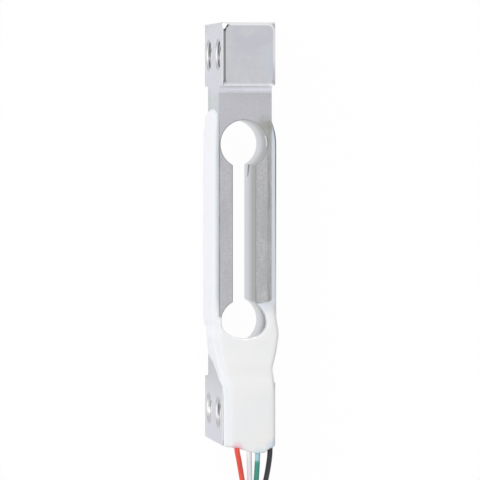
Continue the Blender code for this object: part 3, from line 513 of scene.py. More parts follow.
def rimCutter(end, sign):
    # Everything outside the worn rim of one block's front or back face, and a margin past it
    inside, outside, lift = 0.1, 0.9, 0.3
    face = beam["width"] if sign > 0 else 0.0
    centreY = end * (beam["length"] - beam["block"] - beam["rimShort"]) / 2
    inset, drop = sum(width for width, slope in beam["rim"]), 0.0
    firstSlope = math.tan(math.radians(beam["rim"][0][1]))
    rings = [(inset + inside, -lift), (inset + inside, -inside * firstSlope)]
    for width, slope in beam["rim"]:
        inset -= width
        drop += width * math.tan(math.radians(slope))
        rings.append((max(inset, 0), drop))
    rings += [(-outside, drop + 0.002), (-outside, -lift)]
    bm = bmesh.new()
    insets, corners = zip(*beam["rimCorners"])
    loops = [
        roundedLoop(bm, inset, float(np.interp(inset, insets, corners)), centreY, face - sign * drop)
        for inset, drop in rings
    ]
    for one, two in zip(loops, loops[1:] + loops[:1]):
        bmesh.ops.bridge_loops(bm, edges=one + two)
    bmesh.ops.recalc_face_normals(bm, faces=bm.faces)
    scaleToMetres(bm)
    return linkMesh(bm, "rim")


def windowCutter(offset, low, high, squash=1.0):
    # Two circles joined by a slot, the lower circle's far side drawn in by the squash
    radius, half = beam["windowRadius"] + offset, beam["slot"] / 2 + offset
    bm = bmesh.new()
    start = math.asin(half / radius)
    tip = bm.verts.new((half, beam["windowY"] - radius * math.cos(start), low))
    turn = 2 * math.pi - 2 * start
    bmesh.ops.spin(
        bm, geom=[tip], cent=(0, beam["windowY"], low), axis=(0, 0, 1), dvec=(0, 0, 0), angle=turn, steps=72,
    )
    other = bmesh.ops.duplicate(bm, geom=bm.verts[:] + bm.edges[:])
    bmesh.ops.rotate(bm, cent=(0, 0, low), matrix=Matrix.Rotation(math.pi, 3, "Z"), verts=vertsOf(other))
    ends = [v for v in bm.verts if len(v.link_edges) == 1]
    for side in (-1, 1):
        bm.edges.new([v for v in ends if v.co.x * side > 0])
    for vert in bm.verts:
        past = min(vert.co.y + beam["windowY"], 0)
        vert.co.y -= past * (1 - squash)
    bmesh.ops.contextual_create(bm, geom=bm.edges[:])
    grown = bmesh.ops.extrude_face_region(bm, geom=list(bm.faces))
    bmesh.ops.translate(bm, vec=(0, 0, high - low), verts=vertsOf(grown))
    bmesh.ops.translate(bm, vec=(beam["windowX"], 0, 0), verts=bm.verts)
    bmesh.ops.recalc_face_normals(bm, faces=bm.faces)
    return bm


def cutWindow(blank):
    bm = windowCutter(0, beam["neckLow"] - 0.5, beam["neckHigh"] + 0.5)
    scaleToMetres(bm)
    cutWith(blank, linkMesh(bm, "window"))
    for z, sign in ((beam["neckHigh"], 1), (beam["neckLow"], -1)):
        chamfer = beam["windowChamfer"]
        bm = windowCutter(0, z - sign * chamfer, z + sign * chamfer)
        outer = [v for v in bm.verts if abs(v.co.z - z - sign * chamfer) < 1e-6]
        for vert in outer:
            middle = Vector((beam["windowX"], math.copysign(beam["windowY"], vert.co.y), vert.co.z))
            inSlot = abs(vert.co.y) < beam["slotEnd"]
            away = Vector((math.copysign(1, vert.co.x), 0, 0)) if inSlot else (vert.co - middle).normalized()
            vert.co += away * chamfer * 2
        scaleToMetres(bm)
        cutWith(blank, linkMesh(bm, "windowChamfer"))


def threadCutter(y, z):
    # One turn of the thread's profile moved on by its pitch closes on itself along the whole hole
    pitch, steps = beam["threadPitch"], 40
    reach = beam["thickness"] / 2 + 2 * pitch
    bm = bmesh.new()
    profile = [bm.verts.new((-reach, 0, 0))]
    start = -reach
    while start < reach - 1e-6:
        for share, radius in beam["thread"]:
            profile.append(bm.verts.new((start + share * pitch, radius, 0)))
        start += pitch
    profile += [bm.verts.new((reach, beam["thread"][0][1], 0)), bm.verts.new((reach, 0, 0))]
    edges = [bm.edges.new(pair) for pair in zip(profile, profile[1:])]
    bmesh.ops.spin(
        bm, geom=profile + edges, cent=(0, 0, 0), axis=(1, 0, 0), dvec=(pitch / steps, 0, 0),
        angle=2 * math.pi, steps=steps,
    )
    bmesh.ops.remove_doubles(bm, verts=bm.verts, dist=0.0005)
    bmesh.ops.holes_fill(bm, edges=bm.edges, sides=0)
    bmesh.ops.recalc_face_normals(bm, faces=bm.faces)
    bmesh.ops.translate(bm, vec=(-pitch / 2, y, z), verts=bm.verts)
    scaleToMetres(bm)
    return linkMesh(bm, "thread")


def mouthCutter(side, y, z):
    # A shallow countersink and a short relief before the thread starts
    face = beam["thickness"] / 2
    bm = bmesh.new()
    profile = [bm.verts.new((face + out, 0, r)) for out, r in beam["mouth"]]
    edges = [bm.edges.new(pair) for pair in zip(profile, profile[1:])]
    bmesh.ops.spin(
        bm, geom=profile + edges, cent=(0, 0, 0), axis=(1, 0, 0), dvec=(0, 0, 0), angle=2 * math.pi, steps=56,
        use_merge=True,
    )
    bmesh.ops.remove_doubles(bm, verts=bm.verts, dist=0.0005)
    bmesh.ops.recalc_face_normals(bm, faces=bm.faces)
    if side < 0:
        bmesh.ops.rotate(bm, cent=(0, 0, 0), matrix=Matrix.Rotation(math.pi, 3, "Z"), verts=bm.verts)
    bmesh.ops.translate(bm, vec=(0, y, z), verts=bm.verts)
    scaleToMetres(bm)
    return linkMesh(bm, "mouth")


def beamFinish():
    finish, tree, shader = newFinish("milledAluminium")
    paint = beam["paint"]
    coords = objectCoords(tree)
    x, y, z = axes(tree, coords)
    facingX, facingY, facingZ = axes(tree, addNode(tree, "TexCoord").outputs["Normal"])
    sideways, steep, alongBeam = (maths(tree, "ABSOLUTE", value) for value in (facingX, facingZ, y))
    grain = noise(tree, coords, 6500.0, 3.0, 0.6)
    milled = noise(tree, objectCoords(tree, (9000, 500, 9000)), 1.0, 2.0)

    # Blocks, then the neck and its rails, which were sawn more coarsely
    colour = ramp(tree, noise(tree, coords, 260.0, 2.0), *beam["blockShades"])
    clouds = remap(tree, noise(tree, coords, 1100.0, 3.0, 0.6), 0.50, 0.66)
    colour = layer(tree, colour, clouds, paint["clouds"])
    bluish = near(tree, objectCoords(tree, (1.0, 0.5, 1.0)), (2.15, 9.55, 12.0), 0.25, 1.0)
    colour = layer(tree, colour, bluish, paint["bluish"])
    neck = below(tree, alongBeam, 15.7, 16.4)
    colour = layer(tree, colour, neck, paint["neck"])
    rails = below(tree, alongBeam, 8.5, 12.5)
    blotches = ramp(tree, noise(tree, coords, 3600.0, 2.0, 0.6), *beam["railShades"])
    colour = mixColour(tree, rails, colour, blotches)
    patchNoise = noise(tree, objectCoords(tree, (1.0, 0.45, 1.0)), 900.0, 2.0)
    patches = product(tree, rails, remap(tree, patchNoise, 0.42, 0.62))
    colour = layer(tree, colour, patches, paint["patches"])
    leftRail = product(tree, rails, below(tree, x, -1.2, -1.0))
    colour = layer(tree, colour, leftRail, paint["leftRail"])
    # Painted highlight: the front beside each block, and most of all its step, are painted lighter where the fillet
    # catches the light
    onFront = above(tree, z, 9.45, 9.48)
    besideBlockHighlight = product(tree, within(tree, alongBeam, 15.80, 16.66, 0.14), onFront)
    colour = layer(tree, colour, besideBlockHighlight, paint["besideBlockHighlight"])
    step = product(tree, within(tree, alongBeam, 16.36, 16.55, 0.06), onFront)
    colour = layer(tree, colour, step, paint["step"])
    speckle = product(tree, remap(tree, grain, 0.30, 0.72), blendValue(tree, neck, 0.06, 0.30))
    colour = layer(tree, colour, speckle, paint["speckle"])
    colour = layer(tree, colour, remap(tree, milled, 0.40, 0.72), paint["milling"])

    # The ground sides are smoother, and painted lighter and bluer as a painted reflection of the floor; the window's
    # wall is painted light deep down and dark near its top, as painted light and shade
    groundSidesAndReflection = remap(tree, sideways, 0.75, 0.95)
    colour = layer(tree, colour, groundSidesAndReflection, paint["groundSidesAndReflection"])
    fromWindow = maths(tree, "ABSOLUTE", maths(tree, "SUBTRACT", x, beam["windowX"] * mm))
    window = product(
        tree, below(tree, fromWindow, 2.73, 2.78), below(tree, alongBeam, 12.8, 13.0),
        remap(tree, steep, 0.3, 0.5, 1.0, 0.0),
    )
    colour = mixColour(tree, window, colour, ramp(tree, above(tree, z, 4.0, 9.4), *beam["wallShades"]))
    # Painted shadow on the window's wall under the coat's lip
    lipShadow = product(tree, window, below(tree, y, -8.6, -7.8), above(tree, z, 6.1, 7.4))
    colour = layer(tree, colour, lipShadow, paint["lipShadow"])
    stainNoise = remap(tree, noise(tree, coords, 700.0), 0.35, 0.55, 0.4, 0.9)
    stain = product(tree, groundSidesAndReflection, within(tree, y, 13.3, 15.1, 0.7), stainNoise)
    colour = layer(tree, colour, stain, paint["stain"])
    # Painted shade on the sides where the neck meets the lead end's block
    lowSideShade = product(tree, groundSidesAndReflection, above(tree, y, -18.6, -16.0), below(tree, y, -12.5, -11.5))
    colour = layer(tree, colour, lowSideShade, paint["lowSideShade"])

    # The bores are painted dark deep inside, as painted shade, except at the lead end, where they keep a clean light
    # colour but for one dark spot
    fromMiddle = maths(tree, "ABSOLUTE", maths(tree, "SUBTRACT", z, beam["width"] / 2 * mm))
    holeY = maths(tree, "SUBTRACT", alongBeam, beam["holeY"] * mm)
    holeZ = maths(tree, "SUBTRACT", fromMiddle, (beam["width"] / 2 - beam["holeZ"][0]) * mm)
    squares = [maths(tree, "MULTIPLY", value, value) for value in (holeY, holeZ)]
    fromHole = maths(tree, "SQRT", maths(tree, "ADD", *squares))
    bore = product(tree, below(tree, fromHole, 1.57, 1.60), remap(tree, sideways, 0.5, 0.7, 0.8, 0.0))
    spot = product(tree, within(tree, y, -20.4, -19.2, 0.3), above(tree, z, 5.5, 6.5))
    clean = product(tree, below(tree, y, -1.0, 1.0), maths(tree, "SUBTRACT", 1.0, spot))
    colour = mixColour(tree, bore, colour, mixColour(tree, clean, *beam["boreShades"]))

    # Tumbling has polished the blocks' rims, which are also painted lighter as a painted highlight, most on their upper
    # and left sides; the countersinks are painted bright as a painted highlight
    rightShine = remap(tree, y, 17.5 * mm, 19.5 * mm, 0.1, 0.75)
    rim = product(
        tree, above(tree, fromMiddle, 5.48, 5.52), remap(tree, steep, 0.90, 0.94, 1.0, 0.0),
        remap(tree, steep, 0.02, 0.06), blendValue(tree, remap(tree, facingX, 0.15, 0.40), 1.0, rightShine),
        remap(tree, facingY, -0.40, -0.15, 0.3, 1.0),
    )
    colour = layer(tree, colour, rim, paint["rim"])
    # A painted dark reflection follows the flat face round its upper left corner
    flat = addNode(tree, "VectorMath", {1: (1, 1, 0)}, {0: coords}, operation="MULTIPLY").outputs["Vector"]
    fromCorner = addNode(tree, "VectorMath", {1: Vector((-2.05, 22.55, 0)) * mm}, {0: flat}, operation="DISTANCE")
    cornerDarkReflection = product(
        tree, within(tree, fromCorner.outputs["Value"], 0.60, 0.78, 0.04), below(tree, x, -2.45, -2.15),
        above(tree, y, 22.4, 22.7), above(tree, z, 11.2, 11.4),
    )
    colour = layer(tree, colour, cornerDarkReflection, paint["cornerDarkReflection"])
    atMouth = product(tree, below(tree, fromHole, 1.80, 1.84), remap(tree, sideways, 0.30, 0.45))
    mouth = product(tree, atMouth, remap(tree, sideways, 0.85, 0.95, 1.0, 0.0))
    facingAlong = remap(tree, maths(tree, "ABSOLUTE", facingY), 0.15, 0.50)
    colour = mixColour(tree, mouth, colour, mixColour(tree, facingAlong, *beam["mouthShades"]))
    # Painted shade: a dark line round each countersink's inner edge
    mouthShadeLine = product(tree, atMouth, above(tree, fromHole, 1.67, 1.73))
    colour = layer(tree, colour, mouthShadeLine, paint["mouthShadeLine"])

    # Painted shade along the neck front's right edge by the pad, and a thin painted shade line along its left edge; an
    # oily smear above the window
    edgeNoise = noise(tree, objectCoords(tree, (3000, 500, 3000)), 1.0, 3.0)
    rightEdgeShade = product(
        tree, within(tree, x, 2.56, 2.84, 0.09), within(tree, y, -9.0, 12.2, 0.6),
        remap(tree, edgeNoise, 0.36, 0.56, 0.20, 0.60), remap(tree, facingZ, 0.3, 0.6),
    )
    colour = layer(tree, colour, rightEdgeShade, paint["rightEdgeShade"])
    leftEdgeShade = product(
        tree, within(tree, x, -3.02, -2.90, 0.05), within(tree, y, -9.6, 12.0, 1.0),
        remap(tree, edgeNoise, 0.36, 0.56, 0.35, 0.85), remap(tree, facingZ, 0.2, 0.5),
    )
    colour = layer(tree, colour, leftEdgeShade, paint["leftEdgeShade"])
    smearNoise = remap(tree, noise(tree, coords, 1300.0), 0.34, 0.56, 0.3, 1.0)
    smear = product(tree, near(tree, coords, (2.35, 12.0, 9.5), 0.35, 1.15), smearNoise)
    colour = layer(tree, colour, smear, paint["smear"])

    # A painted glint, and a slanting burr painted nearly black as its shade, on the window's right-hand wall
    rightWall = product(tree, window, above(tree, x, 0.8, 1.0))
    glint = product(tree, rightWall, within(tree, y, 9.85, 10.85, 0.15), within(tree, z, 8.45, 8.98, 0.15))
    colour = layer(tree, colour, glint, paint["glint"])
    burrLine = maths(tree, "ADD", maths(tree, "MULTIPLY", y, 0.52), 1.38 * mm)
    fromBurr = maths(tree, "ABSOLUTE", maths(tree, "SUBTRACT", z, burrLine))
    burrWidth = remap(tree, y, 6.3 * mm, 7.7 * mm, 0.16 * mm, 0.52 * mm)
    onBurr = below(tree, maths(tree, "SUBTRACT", fromBurr, burrWidth), 0.0, 0.15)
    burrShade = product(tree, rightWall, onBurr, within(tree, y, 6.35, 7.65, 0.10))
    colour = layer(tree, colour, burrShade, paint["burrShade"])
    tree.links.new(colour, shader.inputs["Base Color"])
    shader.inputs["Metallic"].default_value = 1.0

    rough = blendValue(tree, groundSidesAndReflection, remap(tree, grain, 0.3, 0.7, 0.30, 0.42), 0.26)
    rough = blendValue(tree, window, rough, 0.20)
    rough = blendValue(tree, maths(tree, "MAXIMUM", rim, mouth), rough, 0.13)
    tree.links.new(rough, shader.inputs["Roughness"])
    height = maths(tree, "ADD", milled, product(tree, grain, blendValue(tree, neck, 0.5, 1.6)))
    addBump(tree, shader, height, 0.40, 0.000006)
    return finish


def addBeam():
    block = beamBlank()
    cutWindow(block)
    for end in (-1, 1):
        for sign in (-1, 1):
            cutWith(block, rimCutter(end, sign))
    for end in (-1, 1):
        for z in beam["holeZ"]:
            y = end * beam["holeY"]
            cutWith(block, threadCutter(y, z))
            for side in (-1, 1):
                cutWith(block, mouthCutter(side, y, z))
    block.data.shade_smooth()
    block.data.set_sharp_from_angle(angle=math.radians(28))
    block.data.materials.clear()
    block.data.materials.append(beamFinish())
    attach(block, "root")
    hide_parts("beam")


addBeam()

print("Silicone coat")

coat = {
    "voxel": 0.13,
    "soften": 10,
    "root": 0.2,  # how far inside the beam's sides it starts
    "bed": 0.4,  # and how far below its front
    "corner": 0.3,
    "frontCorner": {-1: 0.80, 1: 0.45},
    "crown": 0.04,
    # The lip's opening over the window: how far it lies aside, how much smaller and flatter it is
    "lipShift": -0.06,
    "lipInset": 0.15,
    "lipSquash": 0.68,
    "lipGlow": 0.13,  # how brightly its thin edge glows, as painted light
    "sideThickness": {-1: 0.65, 1: 0.60},
    # Height of the front over Y
    "heights": (
        (-23.5, 12.85), (-22.5, 12.92), (-19.0, 12.94), (-17.5, 12.90), (-16.6, 12.76), (-15.8, 12.36),
        (-15.1, 11.66), (-14.4, 10.96), (-13.6, 10.50), (-12.0, 10.28), (-10.5, 10.08), (-9.6, 9.94),
        (-8.6, 9.80), (-7.9, 9.68), (-7.5, 9.54),
    ),
    # How far down the sides the front piece reaches, and how thick it is there
    "flapBottoms": (
        (-23.5, 11.9), (-18.2, 11.9), (-17.3, 11.3), (-16.2, 9.1), (-15.7, 8.1), (-14.5, 5.1), (-14.0, 2.9),
        (-13.0, 2.5), (-7.5, 2.5),
    ),
    "flapThickness": {
        -1: (
            (-23.5, -0.12), (-18.0, -0.08), (-16.3, 0.04), (-15.3, 0.10), (-14.1, 0.30), (-13.0, 0.48), (-12.3, 0.57),
            (-11.3, 0.70), (-10.0, 0.62), (-9.0, 0.50), (-7.5, 0.30),
        ),
        1: (
            (-23.5, -0.18), (-18.0, -0.16), (-16.3, -0.24), (-15.3, -0.24), (-14.1, 0.20), (-13.6, 0.36), (-12.3, 0.62),
            (-11.3, 0.77), (-10.0, 0.64), (-9.0, 0.50), (-7.5, 0.30),
        ),
    },
    "flapTaper": 4.5,  # how far up from its lower end it thickens, by this profile
    "flapProfile": ((0.0, 0.06), (0.33, 0.55), (0.66, 0.85), (1.0, 1.0)),
    # Thickness of the side pads along Y, as a share
    "padShares": {
        -1: (
            (-11.1, 0.06), (-10.8, 0.42), (-10.4, 0.80), (-9.7, 1.0), (6.0, 1.0), (11.0, 0.86), (12.1, 0.76),
            (13.1, 0.64), (13.7, 0.40), (14.0, 0.06),
        ),
        1: (
            (-11.1, 0.06), (-10.8, 0.42), (-10.4, 0.80), (-9.7, 1.0), (9.8, 1.0), (10.5, 0.96), (11.3, 0.76),
            (12.2, 0.38), (12.8, 0.16), (13.1, 0.05),
        ),
    },
    # How far the pads' upper ends round in from the front and the back
    "padEnds": {
        -1: ((12.7, 0.0), (13.1, 0.22), (13.4, 0.60), (13.7, 1.35), (14.0, 2.90)),
        1: ((11.3, 0.0), (12.3, 0.25), (12.8, 0.70), (13.1, 1.60)),
    },
    # Its upper edge ends at this Y, level at the right and slanting down by the drop to the left
    "upperEdge": {"y": -7.5, "reach": 4.4, "drop": 1.9, "level": 1.35, "across": 4.2, "least": 0.06},
    # How far the tongue reaches past the beam's end, across X
    "tongue": (
        (-3.2, 0.10), (-2.2, 0.15), (-1.4, 0.20), (-0.4, 0.50), (0.4, 0.90), (0.9, 0.96), (1.5, 0.94),
        (1.9, 0.86), (2.3, 0.50), (2.7, 0.24), (3.2, 0.10),
    ),
    # Share of that reach, and of the coat's full size there
    "tongueSteps": ((1.0, 0.62), (0.95, 0.78), (0.85, 0.90), (0.7, 0.97), (0.5, 1.0), (0.25, 1.0)),
    "shades": ((0.32, (0.905, 0.912, 0.925)), (0.52, (0.925, 0.926, 0.924)), (0.70, (0.940, 0.936, 0.926))),
    # How strongly each tint covers it, and its colour
    "paint": {
        "sides": (0.8, (0.885, 0.900, 0.960)),
        "innerEdgeShade": (0.75, (0.49, 0.555, 0.635)),
        "lipTint": (0.6, (0.74, 0.78, 0.88)),
        "glowingLipEdge": (1.0, (1.0, 1.0, 1.0)),
        "leftRoundShade": (1.0, (0.815, 0.830, 0.860)),
        "outerEdgeShade": (0.95, (0.11, 0.13, 0.19)),
        "dust": (0.10, (0.60, 0.59, 0.56)),
    },
    # Dye from the leads: its place, reach and fade, then how strongly it covers, and its colour
    "dye": (
        ((-1.5, -23.65, 12.4), 0.20, 0.75, (0.85, (0.93, 0.36, 0.50))),
        ((0.9, -24.3, 12.4), 0.20, 0.80, (0.55, (0.42, 0.72, 0.85))),
        ((2.5, -23.5, 12.3), 0.20, 0.95, (0.60, (0.48, 0.64, 0.86))),
    ),
}


def valueAt(table, place):
    # A smooth curve through the table's points that never swings past them
    places, values = np.array(table).T
    steps = np.diff(values) / np.diff(places)
    before, after = np.append(steps[:1], steps), np.append(steps, steps[-1:])
    level = before * after <= 0
    slopes = np.where(level, 0.0, 2 * before * after / np.where(level, 1.0, before + after))
    i = min(max(int(np.searchsorted(places, place)), 1), len(places) - 1)
    span = places[i] - places[i - 1]
    t = min(max((place - places[i - 1]) / span, 0.0), 1.0)
    return float(
        (2 * t**3 - 3 * t**2 + 1) * values[i - 1] + (t**3 - 2 * t**2 + t) * span * slopes[i - 1]
        + (3 * t**2 - 2 * t**3) * values[i] + (t**3 - t**2) * span * slopes[i]
    )


def roundCorner(centre, radius, start, end, steps=7):
    angles = np.radians(np.linspace(start, end, steps + 1))
    return [(centre[0] + radius * math.cos(a), centre[1] + radius * math.sin(a)) for a in angles]


def extrudeThrough(bm, sections):
    # The first section's face, extruded from each section to the next
    face = bm.faces.new([bm.verts.new(p) for p in sections[0]])
    for section in sections[1:]:
        grown = bmesh.ops.extrude_face_region(bm, geom=[face])
        face = next(f for f in grown["geom"] if isinstance(f, bmesh.types.BMFace))
        for vert, point in zip(face.verts, section):
            vert.co = point


def padSection(side, y):
    # A slice of one side's pad, thinner and rounded in toward its ends
    share = valueAt(coat["padShares"][side], y)
    thick = coat["sideThickness"][side] * share
    endRound = valueAt(coat["padEnds"][side], y) if y > 0 else 0.9 * (1 - share) ** 2
    low, high = beam["neckLow"] + endRound, beam["neckHigh"] - endRound * (1.0 if y > 0 else 0.5)
    corner = min(coat["corner"], thick * 0.8)
    outline = [(-coat["root"], low), *roundCorner((thick - corner, low + corner), corner, -90, 0)]
    outline += [*roundCorner((thick - corner, high - corner), corner, 0, 90), (-coat["root"], high)]
    return [(side * (beam["thickness"] / 2 + out), y, z) for out, z in outline]


def flapSide(side, y, low, top):
    # How one side of the front piece hangs over the beam's edge, from its lower end up
    half = beam["thickness"] / 2
    high = top - coat["frontCorner"][side]
    thick = valueAt(coat["flapThickness"][side], y)
    taper = min(coat["flapTaper"], (high - low) / 2)
    rise = [(half - coat["root"], low)]
    rise += [(half + thick * valueAt(coat["flapProfile"], up), low + taper * up) for up in np.linspace(0, 1, 10)]
    corner = coat["frontCorner"][side]
    rise += roundCorner((half + thick - corner, top - corner), corner, 0, 90)
    return [(side * x, z) for x, z in rise]


def frontSection(y):
    edge = coat["upperEdge"]
    top = valueAt(coat["heights"], y)
    low = min(valueAt(coat["flapBottoms"], y), top - coat["frontCorner"][-1] - 0.1)
    left, right = (flapSide(side, y, low, top) for side in (-1, 1))
    crown = []
    for share in np.linspace(0, 1, 15)[1:-1]:
        x = left[-1][0] + (right[-1][0] - left[-1][0]) * share
        crown.append((x, top + 4 * coat["crown"] * share * (1 - share)))
    onNeck = min(max((y + 16.75) / 0.2, 0), 1)  # its bed steps down from the block to the neck
    bed = beam["width"] - coat["bed"] + (beam["neckHigh"] - beam["width"]) * onNeck
    outline = [*left, *crown, *reversed(right), (right[0][0], bed), (left[0][0], bed)]
    nearEdge = min(max((y - edge["y"]) / edge["reach"] + 1, 0), 1)
    section = []
    for x, z in outline:
        # The upper edge slants down toward the left
        slant = min(max((edge["level"] - x) / edge["across"], edge["least"]), 1)
        section.append((x, y - edge["drop"] * nearEdge * slant, z))
    return section


def coatBlank():
    bm = bmesh.new()
    for side in (-1, 1):
        start, end = coat["padShares"][side][0][0], coat["padShares"][side][-1][0]
        places = (*np.arange(start, end - 2.0, 0.3), *np.linspace(end - 2.0, end, 21))  # finer where it thins out
        extrudeThrough(bm, [padSection(side, y) for y in places])
    upperEnd = coat["upperEdge"]["y"]
    sections = [frontSection(y) for y in (*np.arange(beamEnd, upperEnd, 0.25), upperEnd)]
    middle = beam["width"] + coat["bed"]
    tongue = []
    for reach, share in coat["tongueSteps"]:
        tongue.append([
            (x * (1 + share) / 2, y - reach * valueAt(coat["tongue"], x), middle + (z - middle) * share)
            for x, y, z in sections[0]
        ])
    extrudeThrough(bm, tongue + sections)
    bmesh.ops.recalc_face_normals(bm, faces=bm.faces)
    return bm


def coatFinish():
    finish, tree, shader = newFinish("whiteSilicone")
    coords = objectCoords(tree)
    x, y, z = axes(tree, coords)
    facingX, facingY, facingZ = axes(tree, addNode(tree, "TexCoord").outputs["Normal"])
    broad = noise(tree, coords, 220.0, 2.0)
    fine = noise(tree, coords, 5200.0, 3.0)
    # Painted shade, darker and bluer, along the metal's edge, where the thin side pads also let it show through
    innerEdgeShade = product(
        tree, below(tree, maths(tree, "ABSOLUTE", x), 2.90, 3.70), above(tree, z, 8.8, 9.3),
        above(tree, y, -9.0, -7.0),
    )
    # The lip's edge over the window is painted white and made to glow, as painted light in place of light through its
    # thin edge
    glowingLipEdge = product(
        tree, remap(tree, facingY, 0.25, 0.6), within(tree, x, -2.6, 0.9, 0.5),
        within(tree, y, -12.6, -10.6, 0.3), above(tree, z, 8.5, 9.2),
    )
    # Painted shade on the left rounding, to dull its highlight
    leftRoundShade = product(tree, remap(tree, facingX, -1.0, -0.82), remap(tree, facingX, -0.55, -0.15, 1.0, 0.0))
    # Painted shade, dark, along the right pad's outer edge
    outerEdgeShade = product(
        tree, remap(tree, facingX, 0.35, 0.65), remap(tree, facingZ, 0.08, 0.16), above(tree, x, 3.0, 3.2),
        above(tree, z, 8.4, 8.7), above(tree, y, -7.0, 6.0), below(tree, y, 12.4, 13.6),
    )
    tints = [
        # The sides are painted cooler and bluer, as painted shade by which way they face
        (remap(tree, maths(tree, "ABSOLUTE", facingX), 0.3, 0.8), coat["paint"]["sides"]),
        (innerEdgeShade, coat["paint"]["innerEdgeShade"]),
        (near(tree, coords, (1.75, -8.5, 9.7), 0.35, 0.90), coat["paint"]["lipTint"]),
        (glowingLipEdge, coat["paint"]["glowingLipEdge"]),
        (leftRoundShade, coat["paint"]["leftRoundShade"]),
        (outerEdgeShade, coat["paint"]["outerEdgeShade"]),
    ]
    # Dye has bled into the edge that the leads come out of
    tints += [(near(tree, coords, place, reach, fade), paint) for place, reach, fade, paint in coat["dye"]]
    tints.append((remap(tree, fine, 0.64, 0.78), coat["paint"]["dust"]))
    colour = ramp(tree, broad, *coat["shades"])
    for mask, paint in tints:
        colour = layer(tree, colour, mask, paint)
    tree.links.new(colour, shader.inputs["Base Color"])
    tree.links.new(remap(tree, broad, 0.3, 0.7, 0.52, 0.64), shader.inputs["Roughness"])
    tree.links.new(maths(tree, "MULTIPLY", glowingLipEdge, coat["lipGlow"]), shader.inputs["Emission Strength"])
    shader.inputs["Emission Color"].default_value = (1.0, 1.0, 1.0, 1.0)
    shader.inputs["IOR"].default_value = 1.41
    shader.inputs["Specular IOR Level"].default_value = 0.35
    shader.inputs["Subsurface Weight"].default_value = 0.35
    shader.inputs["Subsurface Radius"].default_value = (1.0, 0.9, 0.85)
    shader.inputs["Subsurface Scale"].default_value = 0.0005
    lumps = maths(tree, "ADD", noise(tree, coords, 900.0, 2.0), maths(tree, "MULTIPLY", fine, 0.15))
    addBump(tree, shader, lumps, 0.30, 0.00006)
    return finish


def addRemesh(piece):
    merge = piece.modifiers.new("merge", "REMESH")
    merge.mode = "VOXEL"
    merge.voxel_size = coat["voxel"] * mm


def addCoat():
    # The pads and the front piece are merged into one skin, which is cut over the window and then softened
    bm = coatBlank()
    scaleToMetres(bm)
    piece = linkMesh(bm, "siliconeCoat")
    addRemesh(piece)
    applyAll(piece)
    lip = windowCutter(-coat["lipInset"], beam["neckLow"] - 0.5, beam["width"] + 1.5, coat["lipSquash"])
    bmesh.ops.translate(lip, vec=(coat["lipShift"], 0, 0), verts=lip.verts)
    scaleToMetres(lip)
    cutWith(piece, linkMesh(lip, "lip"))
    addRemesh(piece)
    soften = piece.modifiers.new("soften", "SMOOTH")
    soften.factor = 0.5
    soften.iterations = coat["soften"]
    applyAll(piece)
    piece.data.shade_smooth()
    piece.data.materials.clear()
    piece.data.materials.append(coatFinish())
    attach(piece, "root")
    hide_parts("silicone_coat")
    print(f"  {len(piece.data.polygons)} faces")


addCoat()

print("Parts under the coat, tips and tie")


def plainFinish(name, colour, other, gloss, metal, scale, stretch=(1, 1, 1)):
    finish, tree, shader = newFinish(name)
    coords = objectCoords(tree, stretch)
    pattern = noise(tree, coords, scale)
    tree.links.new(ramp(tree, pattern, (0.32, colour), (0.68, other)), shader.inputs["Base Color"])
    tree.links.new(remap(tree, pattern, 0.3, 0.7, gloss - 0.06, gloss + 0.08), shader.inputs["Roughness"])
    shader.inputs["Metallic"].default_value = metal
    addBump(tree, shader, pattern, 0.3, 0.00001)
    return finish


carried = {  # by how a node's name starts
    "gauge_film": plainFinish("amberFilm", (0.50, 0.22, 0.03), (0.66, 0.36, 0.08), 0.30, 0.0, 3000.0),
    "gauge_grid": plainFinish("gaugeFoil", (0.48, 0.34, 0.24), (0.60, 0.46, 0.34), 0.34, 1.0, 9000.0),
    "gauge_wire": plainFinish("enamelledWire", (0.38, 0.10, 0.03), (0.52, 0.18, 0.06), 0.25, 0.3, 6000.0),
    "link_wire": plainFinish("linkWire", (0.36, 0.10, 0.03), (0.50, 0.17, 0.06), 0.25, 0.3, 6000.0),
    "terminal_strip": plainFinish(
        "glassLaminate", (0.10, 0.24, 0.10), (0.20, 0.36, 0.18), 0.45, 0.0, 2500.0, (6, 1, 6),
    ),
    "solder": plainFinish("brightSolder", (0.60, 0.60, 0.62), (0.74, 0.74, 0.76), 0.22, 1.0, 4000.0),
    "lead_core": plainFinish("bareCopper", (0.62, 0.32, 0.20), (0.76, 0.46, 0.32), 0.28, 1.0, 5000.0),
    "lead_tip": plainFinish("tinnedStrands", (0.56, 0.56, 0.57), (0.72, 0.72, 0.73), 0.26, 1.0, 7000.0, (1, 0.2, 1)),
    "hank_tie": plainFinish("matTie", (0.045, 0.045, 0.050), (0.075, 0.075, 0.080), 0.50, 0.0, 5000.0),
}
for nodeName, node in nodes.items():
    for start, finish in carried.items():
        if nodeName.startswith(start):
            node.data.materials.clear()
            node.data.materials.append(finish)

print("Floor and light")

light = {  # in metres
    "key": {"place": (-0.34, 0.26, 0.50), "size": 0.45, "watts": 1.7},
    "fill": {"place": (0.30, -0.22, 0.42), "size": 0.50, "watts": 0.3},
    "aim": (0.0, -0.005, 0.006),
    "worldOnObject": {"left": 0.85, "right": 0.30},
    "darkCards": 0.72,  # how dark the two cards are that metal reflects at its left and right
    "floorGlow": {"camera": 0.98, "shiny": 0.60},
}


def addLamp(name, place, size, watts):
    data = bpy.data.lights.new(name, "AREA")
    data.shape = "DISK"
    data.size = size
    data.energy = watts
    lamp = bpy.data.objects.new(name, data)
    bpy.context.scene.collection.objects.link(lamp)
    lamp.location = place
    lamp.rotation_euler = (Vector(place) - Vector(light["aim"])).to_track_quat("Z", "Y").to_euler()


def seenRays(tree):
    path = addNode(tree, "LightPath").outputs
    return path["Is Camera Ray"], maths(tree, "MAXIMUM", path["Is Glossy Ray"], path["Is Transmission Ray"])


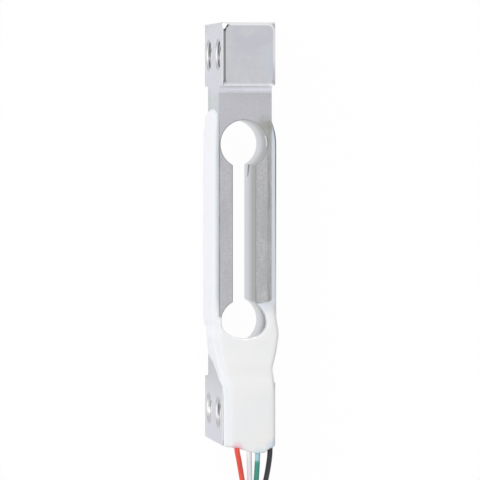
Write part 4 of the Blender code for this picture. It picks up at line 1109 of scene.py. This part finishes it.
def addWorld():
    world = bpy.data.worlds.new("studio")
    bpy.context.scene.world = world
    world.use_nodes = True
    tree = world.node_tree
    back = tree.nodes["Background"]
    back.inputs["Color"].default_value = (1, 1, 1, 1)
    x, y, z = axes(tree, addNode(tree, "TexCoord").outputs["Generated"])
    sides = light["worldOnObject"]
    onObject = remap(tree, x, -0.8, 0.8, sides["left"], sides["right"])
    # The metal reflects two dark cards, of which the right one ends lower, so the upper right corner stays bright
    upperRight = product(tree, remap(tree, x, -0.1, 0.1, 0.0, 0.28), remap(tree, y, -0.1, 0.1))
    card = product(
        tree, remap(tree, z, 0.25, 0.42), remap(tree, z, 0.80, 0.92, 1.0, 0.0),
        remap(tree, maths(tree, "ABSOLUTE", x), 0.25, 0.50),
        remap(tree, maths(tree, "ADD", maths(tree, "ABSOLUTE", y), upperRight), 0.42, 0.70, 1.0, 0.0),
        light["darkCards"],
    )
    camera, shiny = seenRays(tree)
    strength = blendValue(tree, shiny, onObject, maths(tree, "SUBTRACT", 1.0, card))
    tree.links.new(blendValue(tree, camera, strength, 1.0), back.inputs["Strength"])


def addFloor():
    bm = bmesh.new()
    bmesh.ops.create_grid(bm, x_segments=1, y_segments=1, size=3.0)
    floor = linkMesh(bm, "floor")
    finish, tree, shader = newFinish("whiteTable")
    shader.inputs["Base Color"].default_value = (0.90, 0.90, 0.90, 1)
    shader.inputs["Roughness"].default_value = 0.9
    shader.inputs["Specular IOR Level"].default_value = 0.0
    glow = addNode(tree, "Emission", {"Color": (1, 1, 1, 1), "Strength": 1.0})
    camera, shiny = seenRays(tree)
    inMetal = maths(tree, "MULTIPLY", shiny, light["floorGlow"]["shiny"])
    share = blendValue(tree, camera, inMetal, light["floorGlow"]["camera"])
    mixed = addNode(tree, "MixShader", None, {0: share, 1: shader.outputs["BSDF"], 2: glow.outputs["Emission"]})
    tree.links.new(mixed.outputs["Shader"], tree.nodes["Material Output"].inputs["Surface"])
    floor.data.materials.append(finish)


addWorld()
addFloor()
for lampName in ("key", "fill"):
    addLamp(lampName, **light[lampName])
bpy.context.scene.view_settings.view_transform = "Standard"
